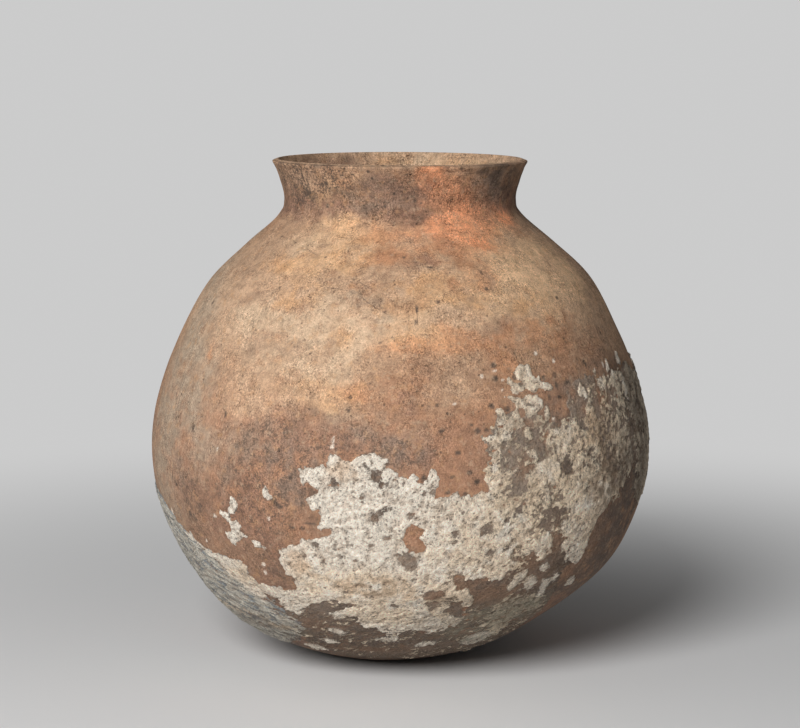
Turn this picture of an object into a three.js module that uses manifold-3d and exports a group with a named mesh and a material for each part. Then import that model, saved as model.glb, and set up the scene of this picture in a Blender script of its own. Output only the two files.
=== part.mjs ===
// Short-necked storage jar: a round-based earthenware pot, built by hand in rings of clay,
// with a patchy crust of lime on its lower wall.
// Millimetres, +Z up. The origin is on the floor under the middle of the belly and -Y is the front.
import * as THREE from "three";
import { mergeVertices } from "three/addons/utils/BufferGeometryUtils.js";
import Module from "manifold-3d";

const wasm = await Module();
wasm.setup();

// Driving dimensions
const lipHeight = 298;          // to the outer edge of the lip, whose inner edge is 2 higher
const bellyRadius = 150.5;
const bellyHeight = 133;
const neckRadius = 70;
const neckHeight = 275;
const mouthRadius = 76.7;
const restRadius = 24;          // the worn flat spot that the jar stands on

// Thickness of the wall, from the base up
const baseWall = 10;
const bodyWall = 7.5;
const neckWall = 6;
const lipWall = 4;

// The jar is not quite true, as hand-built ones are not
const baseShift = -7;           // the base sits to the left of the mouth
const baseShiftTop = 66;        // the shift fades out between these two heights
const baseShiftFoot = 20;
const mouthDip = 0.003;         // the rim falls this much for each millimetre to the right
const mouthDipFoot = 262;
const shoulderSwell = 1.6;      // the shoulder is fuller on the right
const shoulderSwellHeight = 236;
const shoulderSwellReach = 38;

// Joints between the rings of clay, as stations of the outside curve
const discJoint = 2;
const baseJoint = 4;
const bellyJoint = 6;
const shoulderJoint = 8;
const neckJoint = 11;
const lipJoint = 13.65;
const scarf = 0.25;             // each joint slopes up this many stations towards the inside
const jointGap = 0.5;           // measured along the wall, 0.3 across the sloping joint

// The crust
const crustGap = 0.3;
const crustThickness = 1.3;
const crustTopStation = 8.6;
const crustFootStation = 0.6;

const segments = 64;
const outsideSteps = 2;         // points to each station
const insideSteps = 1;
const clearOfAxis = 6;          // a crust outline is cut out of the wall from here outwards
const beyondWall = 200;

// Stations on the way from one named point to the next. Each pair is the share of the way
// outwards and the share of the way up.
function between(from, to, shares) {
  return shares.map(([out, up]) => new THREE.Vector2(
    THREE.MathUtils.lerp(from.x, to.x, out),
    THREE.MathUtils.lerp(from.y, to.y, up),
  ));
}

const rest = new THREE.Vector2(restRadius, 0);
const belly = new THREE.Vector2(bellyRadius, bellyHeight);
const neck = new THREE.Vector2(neckRadius, neckHeight);
const mouth = new THREE.Vector2(mouthRadius, lipHeight);

const outside = new THREE.SplineCurve([
  rest,
  ...between(rest, belly, [[0.213, 0.03], [0.474, 0.135], [0.7, 0.305], [0.87, 0.504], [0.976, 0.752]]),
  belly,
  ...between(belly, neck, [[0.075, 0.225], [0.23, 0.447], [0.441, 0.658], [0.714, 0.813], [0.944, 0.93]]),
  neck,
  ...between(neck, mouth, [[0.373, 0.522]]),
  mouth,
]);
const lastStation = outside.points.length - 1;

function wallAt(station) {
  if (station < baseJoint) {
    return THREE.MathUtils.mapLinear(station, 0, baseJoint, baseWall, bodyWall);
  }
  if (station < neckJoint) {
    return THREE.MathUtils.mapLinear(station, baseJoint, neckJoint, bodyWall, neckWall);
  }
  return THREE.MathUtils.mapLinear(station, neckJoint, lastStation, neckWall, lipWall);
}

// A point of the wall: how far it lies outside the outer face, and how far along the wall
// it is moved from its station.
function wallPoint(station, outwards, along = 0) {
  const share = station / lastStation;
  const tangent = outside.getTangent(share);
  const normal = new THREE.Vector2(tangent.y, -tangent.x);
  return outside.getPoint(share).addScaledVector(normal, outwards).addScaledVector(tangent, along);
}

// The stations of a stretch of wall, both ends included
function stationsFrom(start, end, steps) {
  const stations = [start];
  for (let step = Math.floor(start * steps) + 1; step < end * steps; step++) {
    stations.push(step / steps);
  }
  stations.push(end);
  return stations;
}

// Moves a point of the true jar to where it is on the lopsided one
function lopsided(point) {
  const fromSwell = Math.abs(point.z - shoulderSwellHeight);
  const swell = shoulderSwell * (1 - THREE.MathUtils.smoothstep(fromSwell, 0, shoulderSwellReach));
  const radius = Math.hypot(point.x, point.y);
  if (radius > 0 && point.x > 0) {
    const grown = 1 + swell * point.x / (radius * radius);
    point.x *= grown;
    point.y *= grown;
  }
  point.x += baseShift * (1 - THREE.MathUtils.smoothstep(point.z, baseShiftFoot, baseShiftTop));
  point.z -= mouthDip * point.x * THREE.MathUtils.smoothstep(point.z, mouthDipFoot, neckHeight);
  return point;
}

// Turns a closed profile round the jar's axis and makes it lopsided
function turned(profile) {
  const geometry = new THREE.LatheGeometry(profile, segments);
  geometry.rotateX(Math.PI / 2);
  const position = geometry.getAttribute("position");
  const point = new THREE.Vector3();
  for (let i = 0; i < position.count; i++) {
    lopsided(point.fromBufferAttribute(position, i));
    position.setXYZ(i, point.x, point.y, point.z);
  }
  return geometry;
}

// A stretch of wall as points, with its two ends moved along the wall to leave room for a joint
function wallLine(stations, outwardsAt, footMove, headMove) {
  return stations.map((station, i) => {
    const along = i === 0 ? footMove : i === stations.length - 1 ? headMove : 0;
    return wallPoint(station, outwardsAt(station), along);
  });
}

// One ring of clay, with a sloping joint where it meets the ring below and the ring above
function clayRing(start, end) {
  const isBase = start === 0;
  const isLip = end === lastStation;
  const footMove = isBase ? 0 : jointGap / 2;
  const headMove = isLip ? 0 : -jointGap / 2;
  const outerStations = stationsFrom(start, end, outsideSteps);
  const innerStations = stationsFrom(
    isBase ? start : start + scarf,
    isLip ? end : end + scarf,
    insideSteps,
  );
  const outer = wallLine(outerStations, () => 0, footMove, headMove);
  const inner = wallLine(innerStations, (station) => -wallAt(station), footMove, headMove).reverse();
  if (isBase) {
    return turned([new THREE.Vector2(0, 0), ...outer, ...inner, new THREE.Vector2(0, baseWall)]);
  }
  return turned([...outer, ...inner, outer[0].clone()]);
}

function solidOf(geometry) {
  const bare = geometry.clone();
  bare.deleteAttribute("normal");
  bare.deleteAttribute("uv");
  const merged = mergeVertices(bare, 1e-4);
  return new wasm.Manifold(new wasm.Mesh({
    numProp: 3,
    vertProperties: merged.getAttribute("position").array,
    triVerts: new Uint32Array(merged.index.array),
  }));
}

function geometryOf(solid) {
  const mesh = solid.getMesh();
  const geometry = new THREE.BufferGeometry();
  geometry.setAttribute("position", new THREE.BufferAttribute(mesh.vertProperties, 3));
  geometry.setIndex(new THREE.BufferAttribute(mesh.triVerts, 1));
  geometry.computeVertexNormals();
  return geometry;
}

// A thin shell all round the lower wall, out of which every patch of crust is cut
function crustShell() {
  const stations = stationsFrom(crustFootStation, crustTopStation, outsideSteps);
  const outer = wallLine(stations, () => crustGap + crustThickness, 0, 0);
  const inner = wallLine(stations, () => crustGap, 0, 0).reverse();
  return solidOf(turned([...outer, ...inner, outer[0].clone()]));
}

const shell = crustShell();

// A patch of crust. Its outline is drawn as seen from a viewer who stands at that many degrees
// round from the front: sideways to the right, and height.
function crustPatch(degreesRound, outline) {
  const shape = new THREE.Shape(outline.map(([across, up]) => new THREE.Vector2(across, up)));
  const cutter = new THREE.ExtrudeGeometry(shape, { depth: beyondWall, bevelEnabled: false });
  cutter.rotateX(Math.PI / 2);
  cutter.translate(0, -clearOfAxis, 0);
  cutter.rotateZ(THREE.MathUtils.degToRad(degreesRound));
  return geometryOf(shell.intersect(solidOf(cutter)));
}

const firedClay = new THREE.MeshStandardMaterial({ color: 0xa9795a, roughness: 0.9, metalness: 0 });
const paleClay = new THREE.MeshStandardMaterial({ color: 0xb99a78, roughness: 0.9, metalness: 0 });
const smokedClay = new THREE.MeshStandardMaterial({ color: 0x8a6a55, roughness: 0.9, metalness: 0 });
const lime = new THREE.MeshStandardMaterial({ color: 0xcfc2ad, roughness: 1, metalness: 0 });

const jar = new THREE.Group();

function addPiece(name, geometry, material) {
  const mesh = new THREE.Mesh(geometry, material.clone());
  mesh.name = name;
  jar.add(mesh);
}

// The body, from the base to the lip
addPiece("base_disc", clayRing(0, discJoint), smokedClay);
addPiece("base_ring", clayRing(discJoint, baseJoint), smokedClay);
addPiece("lower_wall", clayRing(baseJoint, bellyJoint), firedClay);
addPiece("upper_wall", clayRing(bellyJoint, shoulderJoint), firedClay);
addPiece("shoulder", clayRing(shoulderJoint, neckJoint), paleClay);
addPiece("neck_collar", clayRing(neckJoint, lipJoint), smokedClay);
addPiece("lip_band", clayRing(lipJoint, lastStation), paleClay);

// The large sheet of crust across the front and the right
addPiece("lime_crust_front", crustPatch(0, [
  [-53, 138], [-38, 145], [-18, 146], [0, 134], [7, 136], [12, 129], [19, 137], [22, 122], [47, 120],
  [54, 141], [45, 154], [64, 170], [59, 183], [71, 191], [86, 178], [84, 160], [99, 157], [109, 163],
  [122, 148], [125, 125], [121, 108], [106, 83], [102, 72], [87, 86], [79, 78], [65, 78], [56, 69],
  [39, 70], [42, 55], [26, 34], [3, 35], [-9, 28], [-24, 44], [-55, 46], [-69, 50], [-69, 59],
  [-59, 63], [-68, 78], [-67, 87], [-55, 94], [-40, 99], [-44, 112], [-52, 120], [-45, 125],
]), lime);

// The strip that runs down the left side towards the base
addPiece("lime_crust_low_left", crustPatch(0, [
  [-126, 84], [-113, 81], [-87, 75], [-83, 66], [-72, 61], [-72, 54], [-79, 49], [-90, 56],
  [-110, 73], [-124, 78],
]), lime);

// Thin remains under the right side
addPiece("lime_crust_underside", crustPatch(0, [
  [32, 26], [46, 33], [57, 44], [69, 50], [84, 49], [77, 31], [62, 23], [44, 17],
]), lime);

// Separate flakes on the left
addPiece("lime_flake_long", crustPatch(0, [
  [-101, 107], [-95, 115], [-91, 110], [-91, 101], [-85, 93], [-93, 85], [-99, 93],
]), lime);
addPiece("lime_flake_upper", crustPatch(0, [
  [-77, 121], [-74, 124], [-72, 121], [-73, 115], [-77, 116],
]), lime);
addPiece("lime_flake_lower", crustPatch(0, [
  [-87, 91], [-84, 92], [-74, 88], [-80, 85],
]), lime);

// A flake high on the right, above the edge of the large sheet
addPiece("lime_flake_right", crustPatch(0, [
  [97, 181], [102, 182], [108, 173], [105, 167], [101, 170],
]), lime);

// The crust on the right side, which the front shows edge on
addPiece("lime_crust_right_side", crustPatch(84, [
  [-52, 180], [-40, 194], [-24, 188], [-8, 170], [14, 178], [28, 150], [50, 141], [44, 112], [20, 97],
  [-6, 104], [-26, 93], [-50, 112], [-44, 146],
]), lime);

// Patches that carry the crust on round the back
addPiece("lime_crust_right_back", crustPatch(138, [
  [-46, 118], [-30, 132], [-14, 126], [8, 134], [28, 112], [22, 88], [42, 66], [18, 48], [-14, 56],
  [-40, 46], [-54, 66], [-42, 92],
]), lime);
addPiece("lime_crust_back_left", crustPatch(225, [
  [-44, 88], [-20, 103], [10, 90], [36, 97], [52, 72], [30, 50], [-6, 42], [-40, 52],
]), lime);

export default jar;
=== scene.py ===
# %% [markdown]
# # A short-necked storage jar
#
# This lesson dresses a hand-built earthenware jar. The solid model gives a disc, five rings and a lip
# band of clay, and ten pieces of lime crust, all at their real size. Here each of them gets a finer
# mesh in the same place, and then the finish of old, unglazed pottery: stains of the kiln, soot,
# scratches, pits and a chalky crust. Lengths are in millimetres until a mesh is handed to Blender in
# metres.

# %% The frame
import bmesh
import bpy
import functools
import math
import numpy as np
import random
from mathutils import Matrix, Vector, noise


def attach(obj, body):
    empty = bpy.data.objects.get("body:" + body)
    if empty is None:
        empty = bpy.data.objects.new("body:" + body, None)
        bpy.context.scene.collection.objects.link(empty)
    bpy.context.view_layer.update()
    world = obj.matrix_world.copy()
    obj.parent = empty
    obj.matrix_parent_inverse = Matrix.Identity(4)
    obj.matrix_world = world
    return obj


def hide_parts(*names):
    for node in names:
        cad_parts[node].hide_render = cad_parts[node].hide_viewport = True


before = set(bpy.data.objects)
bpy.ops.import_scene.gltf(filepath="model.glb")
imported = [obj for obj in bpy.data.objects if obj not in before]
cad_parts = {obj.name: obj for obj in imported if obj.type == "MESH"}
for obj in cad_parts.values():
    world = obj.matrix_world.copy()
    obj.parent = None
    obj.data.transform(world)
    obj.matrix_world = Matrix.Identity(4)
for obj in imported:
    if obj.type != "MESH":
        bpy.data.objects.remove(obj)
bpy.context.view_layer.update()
MM = 0.001

# %% [markdown]
# ## The camera
#
# Everything that the photograph shows is placed by where it is seen, so the camera comes first.
# It stands in front of the jar, a little above the lip, with a long lens, as a studio camera
# does. A long lens keeps the belly from bulging.

# %% The camera
IMAGE_WIDTH, IMAGE_HEIGHT = 800, 728
SENSOR = 36.0
LENS = 112.5
CAMERA_DISTANCE = 1500.0
CAMERA_HEIGHT = 381.3
CAMERA_PITCH = math.radians(7.836)
FOCAL_PIXELS = LENS / SENSOR * IMAGE_WIDTH


def add_object(name, data):
    """A new object in the scene, at the origin."""
    thing = bpy.data.objects.new(name, data)
    bpy.context.scene.collection.objects.link(thing)
    return thing


camera_data = bpy.data.cameras.new("camera")
camera_data.lens = LENS
camera_data.sensor_width = SENSOR
camera = add_object("camera", camera_data)
camera.location = Vector((0.0, -CAMERA_DISTANCE, CAMERA_HEIGHT)) * MM
camera.rotation_euler = (math.pi / 2 - CAMERA_PITCH, 0.0, 0.0)
bpy.context.scene.camera = camera
print("a pixel covers %.2f mm at the middle of the jar" % (CAMERA_DISTANCE / FOCAL_PIXELS))

# %% [markdown]
# ## The outline of the wall
#
# The outline of the jar is one smooth curve through fifteen stations, the same as in the solid
# model. A station number with a fraction names any place on it, such as 10.5 for halfway between
# the tenth and the eleventh. Each place also gives the direction out of the wall, which later
# carries every lump and every pit.

# %% The outline
LIP_HEIGHT = 298.0
BELLY_RADIUS, BELLY_HEIGHT = 150.5, 133.0
NECK_RADIUS, NECK_HEIGHT = 70.0, 275.0
MOUTH_RADIUS = 76.7
REST_RADIUS = 24.0
BASE_WALL, BODY_WALL, NECK_WALL, LIP_WALL = 10.0, 7.5, 6.0, 4.0
DISC_JOINT, BASE_JOINT, BELLY_JOINT, SHOULDER_JOINT, NECK_JOINT, LIP_JOINT = 2, 4, 6, 8, 11, 13.65


def between(start, end, shares):
    """Stations between two named points, from shares of the way outwards and of the way up."""
    return [np.array(start) + (np.array(end) - np.array(start)) * share for share in shares]


rest, belly = (REST_RADIUS, 0.0), (BELLY_RADIUS, BELLY_HEIGHT)
neck, mouth = (NECK_RADIUS, NECK_HEIGHT), (MOUTH_RADIUS, LIP_HEIGHT)
OUTLINE = np.array([
    rest,
    *between(rest, belly, [(0.213, 0.03), (0.474, 0.135), (0.7, 0.305), (0.87, 0.504), (0.976, 0.752)]),
    belly,
    *between(belly, neck, [(0.075, 0.225), (0.23, 0.447), (0.441, 0.658), (0.714, 0.813), (0.944, 0.93)]),
    neck,
    *between(neck, mouth, [(0.373, 0.522)]),
    mouth,
])
LAST_STATION = len(OUTLINE) - 1


def outline_at(stations):
    """Points of the outer wall (radius, height) and the directions out of it, at station numbers."""
    stations = np.atleast_1d(np.asarray(stations, float))
    first = np.clip(stations.astype(int), 0, LAST_STATION - 1)
    share = (stations - first)[:, None]
    start, end = OUTLINE[first], OUTLINE[first + 1]
    leave = (end - OUTLINE[np.maximum(first - 1, 0)]) / 2
    arrive = (OUTLINE[np.minimum(first + 2, LAST_STATION)] - start) / 2
    cubic = 2 * start - 2 * end + leave + arrive
    square = -3 * start + 3 * end - 2 * leave - arrive
    points = cubic * share ** 3 + square * share ** 2 + leave * share + start
    slopes = 3 * cubic * share ** 2 + 2 * square * share + leave
    slopes /= np.linalg.norm(slopes, axis=1)[:, None]
    return points, np.stack([slopes[:, 1], -slopes[:, 0]], 1)


FINE_COUNT = 2801
fine_stations = np.linspace(0.0, LAST_STATION, FINE_COUNT)
fine_points, fine_normals = outline_at(fine_stations)
steps = np.linalg.norm(np.diff(fine_points, axis=0), axis=1)
fine_travel = REST_RADIUS + np.concatenate([[0.0], np.cumsum(steps)])
print("the wall is %.0f mm long from the middle of the base to the lip" % fine_travel[-1])

# %% [markdown]
# ## Places on the wall
#
# A place on the wall has two numbers: how far round the jar it is from the front, in radians, and
# the travel, which is the distance along the wall from the middle of the base. They run all the way
# round, so a stain that starts on the side the photograph shows carries on out of sight. To put a
# mark where the photograph has it, a line is followed from the camera through that pixel until it
# meets the wall.
#
# No hand-built jar is true. This one's base sits to the left of the mouth, its shoulder is fuller
# on the right and its rim dips a little. Every mesh is shaped on the true jar first and then moved
# to where it is on the lopsided one.

# %% Places on the wall
BASE_SHIFT, BASE_SHIFT_FOOT, BASE_SHIFT_TOP = -7.0, 20.0, 66.0
MOUTH_DIP, MOUTH_DIP_FOOT = 0.003, 262.0
SHOULDER_SWELL, SHOULDER_SWELL_HEIGHT, SHOULDER_SWELL_REACH = 1.6, 236.0, 38.0
SEARCH_START, SEARCH_END, SEARCH_STEPS = -170.0, 60.0, 2301  # along a line of sight, from the jar's middle


def smooth(value, low, high):
    """Rises smoothly from 0 at low to 1 at high."""
    share = np.clip((value - low) / (high - low), 0.0, 1.0)
    return share * share * (3.0 - 2.0 * share)


def base_shift(height):
    return BASE_SHIFT * (1.0 - smooth(height, BASE_SHIFT_FOOT, BASE_SHIFT_TOP))


def lopsided(points):
    """Moves points of the true jar to where they are on the hand-built one."""
    x, y, z = points.T.copy()
    swell = SHOULDER_SWELL * (1.0 - smooth(abs(z - SHOULDER_SWELL_HEIGHT), 0.0, SHOULDER_SWELL_REACH))
    grown = 1.0 + swell * np.maximum(x, 0.0) / np.maximum(x * x + y * y, 1.0)
    x, y = x * grown, y * grown
    x = x + base_shift(z)
    z = z - MOUTH_DIP * x * smooth(z, MOUTH_DIP_FOOT, NECK_HEIGHT)
    return np.stack([x, y, z], 1)


@functools.lru_cache(maxsize=None)
def place_seen_at(u, v):
    """The place on the wall (radians round from the front, travel) that a pixel of the photograph shows."""
    forward = np.array([0.0, math.cos(CAMERA_PITCH), -math.sin(CAMERA_PITCH)])
    upward = np.array([0.0, math.sin(CAMERA_PITCH), math.cos(CAMERA_PITCH)])
    across = np.array([1.0, 0.0, 0.0])
    right, down = u - IMAGE_WIDTH / 2, v - IMAGE_HEIGHT / 2
    sight = forward + across * right / FOCAL_PIXELS - upward * down / FOCAL_PIXELS
    reach = np.linspace(CAMERA_DISTANCE + SEARCH_START, CAMERA_DISTANCE + SEARCH_END, SEARCH_STEPS)
    line = np.array([0.0, -CAMERA_DISTANCE, CAMERA_HEIGHT]) + sight * reach[:, None]
    x = line[:, 0] - base_shift(line[:, 2])
    wall = np.interp(line[:, 2], fine_points[:, 1], fine_points[:, 0], left=0.0, right=0.0)
    depth = np.hypot(x, line[:, 1]) - wall
    nearest = int(np.argmax(depth < 0.0)) if (depth < 0.0).any() else int(np.argmin(depth))
    travel = np.interp(line[nearest, 2], fine_points[:, 1], fine_travel)
    return math.atan2(x[nearest], -line[nearest, 1]), float(travel)


for label, pixel in (("the middle of the belly", (400, 440)), ("the left edge", (156, 440))):
    rounds, travel = place_seen_at(*pixel)
    print(label, "is %.0f degrees round and %.0f mm along the wall" % (math.degrees(rounds), travel))

# %% [markdown]
# ## Rings of clay
#
# The potter luted the jar together out of a disc and rings of clay, with sloping joints. Each ring
# is drawn here as a closed outline: up the outside, over the top and down the inside. The outer
# wall gets small cells, because light rakes over it, and the inner wall long ones. The neck and
# the lip are seen closest, so theirs are the smallest. Where two rings meet, their last cells are
# short, so that both have the same slope there and light shows no line. The lip is cut square to
# the wall and its two edges are worn round.

# %% Outlines of the rings
OUTER_CELL = 1.1
NECK_CELL, LIP_CELL = 0.85, 0.6
INNER_CELL = 6.0
SCARF = 0.25
JOINT_OPENING = 0.01
JOINT_CELL = 0.15
LIP_ROUNDING = 0.9
RINGS = {
    "base_disc": (0, DISC_JOINT),
    "base_ring": (DISC_JOINT, BASE_JOINT),
    "lower_wall": (BASE_JOINT, BELLY_JOINT),
    "upper_wall": (BELLY_JOINT, SHOULDER_JOINT),
    "shoulder": (SHOULDER_JOINT, NECK_JOINT),
    "neck_collar": (NECK_JOINT, LIP_JOINT),
    "lip_band": (LIP_JOINT, LAST_STATION),
}


def wall_thickness(station):
    return np.interp(station, [0, BASE_JOINT, NECK_JOINT, LAST_STATION],
                     [BASE_WALL, BODY_WALL, NECK_WALL, LIP_WALL])


def travel_at(station):
    return np.interp(station, fine_stations, fine_travel)


def even_stations(low, high, cell, end_cell=0.0):
    """Station numbers between two travels, a cell apart along the wall, with short cells at both ends."""
    count = max(2, int(round((high - low) / cell)) + 1)
    travels = np.linspace(low, high, count)
    if end_cell:
        travels = np.insert(travels, [1, count - 1], [low + end_cell, high - end_cell])
    return np.interp(travels, fine_travel, fine_stations)


def lip_end():
    """The end of the lip, cut square to the wall, with its two edges worn round."""
    station_per_mm = 1.0 / (travel_at(LAST_STATION) - travel_at(LAST_STATION - 1))
    corner = []
    for degrees in (0, 22, 45, 68, 90):
        turn = math.radians(degrees)
        back = LIP_ROUNDING * (1 - math.sin(turn)) * station_per_mm
        corner.append((LAST_STATION - back, LIP_ROUNDING * (1 - math.cos(turn))))
    middle = [(LAST_STATION, LIP_WALL * share) for share in (0.4, 0.6)]
    return corner + middle + [(station, LIP_WALL - depth) for station, depth in corner[::-1]]


def ring_outline(start, end):
    """The closed outline of a ring: (station, depth in the wall), up the outside and down the inside."""
    is_base, is_lip = start == 0, end == LAST_STATION
    cell = LIP_CELL if is_lip else NECK_CELL if start == NECK_JOINT else OUTER_CELL
    top = travel_at(end) - (LIP_ROUNDING if is_lip else 0.0)
    outer = [(s, 0.0) for s in even_stations(travel_at(start), top, cell, JOINT_CELL)]
    inner_low = start if is_base else start + SCARF + JOINT_OPENING
    inner_top = travel_at(end) - LIP_ROUNDING if is_lip else travel_at(end + SCARF)
    inner = even_stations(travel_at(inner_low), inner_top, cell if is_lip else INNER_CELL)
    rim = lip_end()[1:-1] if is_lip else []
    return outer + rim + [(s, float(wall_thickness(s))) for s in inner[::-1]]


for name, (start, end) in RINGS.items():
    print(name, "has an outline of", len(ring_outline(start, end)), "corners")

# %% [markdown]
# ## Spinning
#
# A round ring is its outline spun about the axis of the jar, as a profile is turned on a lathe. A
# spin of hundreds of steps gets slower with every step, so one slice is spun and then copied round.
# Every corner of the outline carries its station and how deep it lies in the wall, and all the
# vertices spun from it do too. The mesh can then be shaped without working out where each vertex
# is. The base is spun as a disc, from the axis outwards, and the crust later on as an open sheet.

# %% Spinning
SLICES, STEPS_IN_A_SLICE = 30, 30
MERGE_DISTANCE = 0.01


def spun(name, outline, kind, start=0.0, slice_turn=2 * math.pi / SLICES, slices=SLICES):
    """A mesh spun from an outline. Each vertex keeps its station and its depth in the wall."""
    mesh = bmesh.new()
    station_layer = mesh.verts.layers.float.new("station")
    depth_layer = mesh.verts.layers.float.new("depth")
    corners = []
    for station, depth in outline:
        points, normals = outline_at(station)
        radius, height = points[0] - normals[0] * depth
        corner = mesh.verts.new((radius * math.sin(start), -radius * math.cos(start), height))
        corner[station_layer], corner[depth_layer] = station, depth
        corners.append(corner)
    if kind == "disc":
        for end, height in ((0, 0.0), (-1, BASE_WALL)):
            middle = mesh.verts.new((0.0, 0.0, height))
            middle[depth_layer] = corners[end][depth_layer]
            corners.insert(0 if end == 0 else len(corners), middle)
    edges = [mesh.edges.new(pair) for pair in zip(corners, corners[1:])]
    if kind == "ring":
        edges.append(mesh.edges.new((corners[-1], corners[0])))
    bmesh.ops.spin(mesh, geom=corners + edges, cent=(0, 0, 0), axis=(0, 0, 1), angle=slice_turn,
                   steps=STEPS_IN_A_SLICE)
    one_slice = mesh.verts[:] + mesh.edges[:] + mesh.faces[:]
    for number in range(1, slices):
        copy = bmesh.ops.duplicate(mesh, geom=one_slice)["geom"]
        turned = [part for part in copy if isinstance(part, bmesh.types.BMVert)]
        turn = Matrix.Rotation(number * slice_turn, 3, "Z")
        bmesh.ops.rotate(mesh, verts=turned, cent=(0, 0, 0), matrix=turn)
    bmesh.ops.remove_doubles(mesh, verts=mesh.verts, dist=MERGE_DISTANCE)
    bmesh.ops.recalc_face_normals(mesh, faces=mesh.faces)
    data = bpy.data.meshes.new(name)
    mesh.to_mesh(data)
    mesh.free()
    return data


def vertex_numbers(data, attribute):
    values = np.empty(len(data.vertices), np.float32)
    data.attributes[attribute].data.foreach_get("value", values)
    return values.astype(float)


def vertex_points(data):
    points = np.empty(len(data.vertices) * 3, np.float32)
    data.vertices.foreach_get("co", points)
    return points.reshape(-1, 3).astype(float)


def place_vertices(data, points):
    data.vertices.foreach_set("co", (points * MM).astype(np.float32).ravel())
    data.update()


def wall_places(data, points):
    """The place of each vertex: radians round from the front, and travel."""
    travels = travel_at(vertex_numbers(data, "station"))
    return np.stack([np.arctan2(points[:, 0], -points[:, 1]), travels], 1)


print("a full turn has", SLICES * STEPS_IN_A_SLICE, "steps")


# %% [markdown]
# ## Hand-made unevenness
#
# A jar built by hand has flats and swellings a few fingers wide. They are at most half a
# millimetre high, but light that rakes over the shoulder shows them. Noise gives them: one
# size for the swellings and one for the marks of the fingers. The noise is read at the
# vertex's place in space, so two rings agree where they meet. The neck is rougher than the body.
# A shallow groove runs round its root, where it was luted on, and traces of another show where the
# lip was. The other joints were smeared over. All of it lies half a millimetre inside the solid
# model's wall, so that even the swellings stay within the jar's real size.

# %% Lumps
SUNK = 0.5
SWELLING, SWELLING_SIZE = 0.45, 46.0
FINGER_MARK, FINGER_MARK_SIZE = 0.16, 15.0
NECK_ROUGHNESS, NECK_ROUGHNESS_SIZE = 0.22, 7.0
NECK_GROOVE, NECK_GROOVE_WIDTH = 0.30, 2.0
LIP_GROOVE, LIP_GROOVE_WIDTH = 0.35, 0.9
SHARP_ANGLE = math.radians(50)
NECK_ROOT_TRAVEL = float(travel_at(NECK_JOINT)) + 7.0
LIP_SEAM_TRAVEL = float(travel_at(LIP_JOINT))


def noise_at(points, size, seed):
    """Smooth noise between -1 and 1 at points, with features about size millimetres across."""
    shift = Vector((seed * 17.3, seed * 5.1, seed * 9.7))
    return np.array([noise.noise(Vector(p) / size + shift) for p in points])


def clay_height(points, travels):
    """How far the clay's own surface stands off the true wall, in millimetres."""
    height = SWELLING * noise_at(points, SWELLING_SIZE, 1)
    height += FINGER_MARK * noise_at(points, FINGER_MARK_SIZE, 2)
    on_neck = smooth(travels, NECK_ROOT_TRAVEL - 8.0, NECK_ROOT_TRAVEL + 4.0)
    rough = noise_at(points, NECK_ROUGHNESS_SIZE, 3)
    height += on_neck * NECK_ROUGHNESS * rough
    in_neck_groove = np.exp(-((travels - NECK_ROOT_TRAVEL) / NECK_GROOVE_WIDTH) ** 2)
    in_lip_groove = np.exp(-((travels - LIP_SEAM_TRAVEL) / LIP_GROOVE_WIDTH) ** 2)
    height -= NECK_GROOVE * in_neck_groove * (0.6 + rough)
    height -= LIP_GROOVE * in_lip_groove * smooth(rough, -0.1, 0.4)
    off_flat_spot = smooth(travels, REST_RADIUS + 8.0, REST_RADIUS + 35.0)
    less_at_lip = 1.0 - 0.7 * smooth(travels, fine_travel[-1] - 5.0, fine_travel[-1])
    return (height - SUNK) * off_flat_spot * less_at_lip


def out_of_wall(stations, points):
    """Unit vectors out of the wall at points with these stations."""
    normals = np.stack([np.interp(stations, fine_stations, fine_normals[:, i]) for i in (0, 1)], 1)
    radius = np.hypot(points[:, 0], points[:, 1])
    flat = np.where(radius > 1e-3, normals[:, 0] / np.maximum(radius, 1e-3), 0.0)
    return np.stack([points[:, 0] * flat, points[:, 1] * flat, normals[:, 1]], 1)


def raise_vertices(data, points, height):
    """Moves vertices of the true jar to the lopsided one, and out of its wall by their heights."""
    directions = out_of_wall(vertex_numbers(data, "station"), points)
    place_vertices(data, lopsided(points) + directions * height[:, None])


clay_pieces = {}
for name, (start, end) in RINGS.items():
    data = spun(name + "_clay", ring_outline(start, end), kind="ring" if start > 0 else "disc")
    points = vertex_points(data)
    places = wall_places(data, points)
    outside = vertex_numbers(data, "depth") < LIP_WALL / 2
    height = np.where(outside, clay_height(points, places[:, 1]), 0.0)
    raise_vertices(data, points, height)
    data.shade_smooth()
    data.set_sharp_from_angle(angle=SHARP_ANGLE)
    piece = add_object(name + "_clay", data)
    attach(piece, "root")
    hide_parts(name)
    clay_pieces[name] = (piece, points, places, outside)
    print(name, "has", len(data.polygons), "faces")

# %% [markdown]
# ## Inside or outside an outline
#
# Scratches, sheets of crust and holes are all drawn as outlines on the photograph and sent to the
# wall. What is asked of them later is how far a vertex lies inside one, measured along the wall. The
# nearest edge gives the distance, and a straight path out that crosses the outline an odd number of
# times starts inside.

# %% Outlines on the wall
def on_wall(pixels):
    return np.array([place_seen_at(u, v) for u, v in pixels])


def wall_radius(travels):
    return np.interp(travels, fine_travel, fine_points[:, 0])


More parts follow.
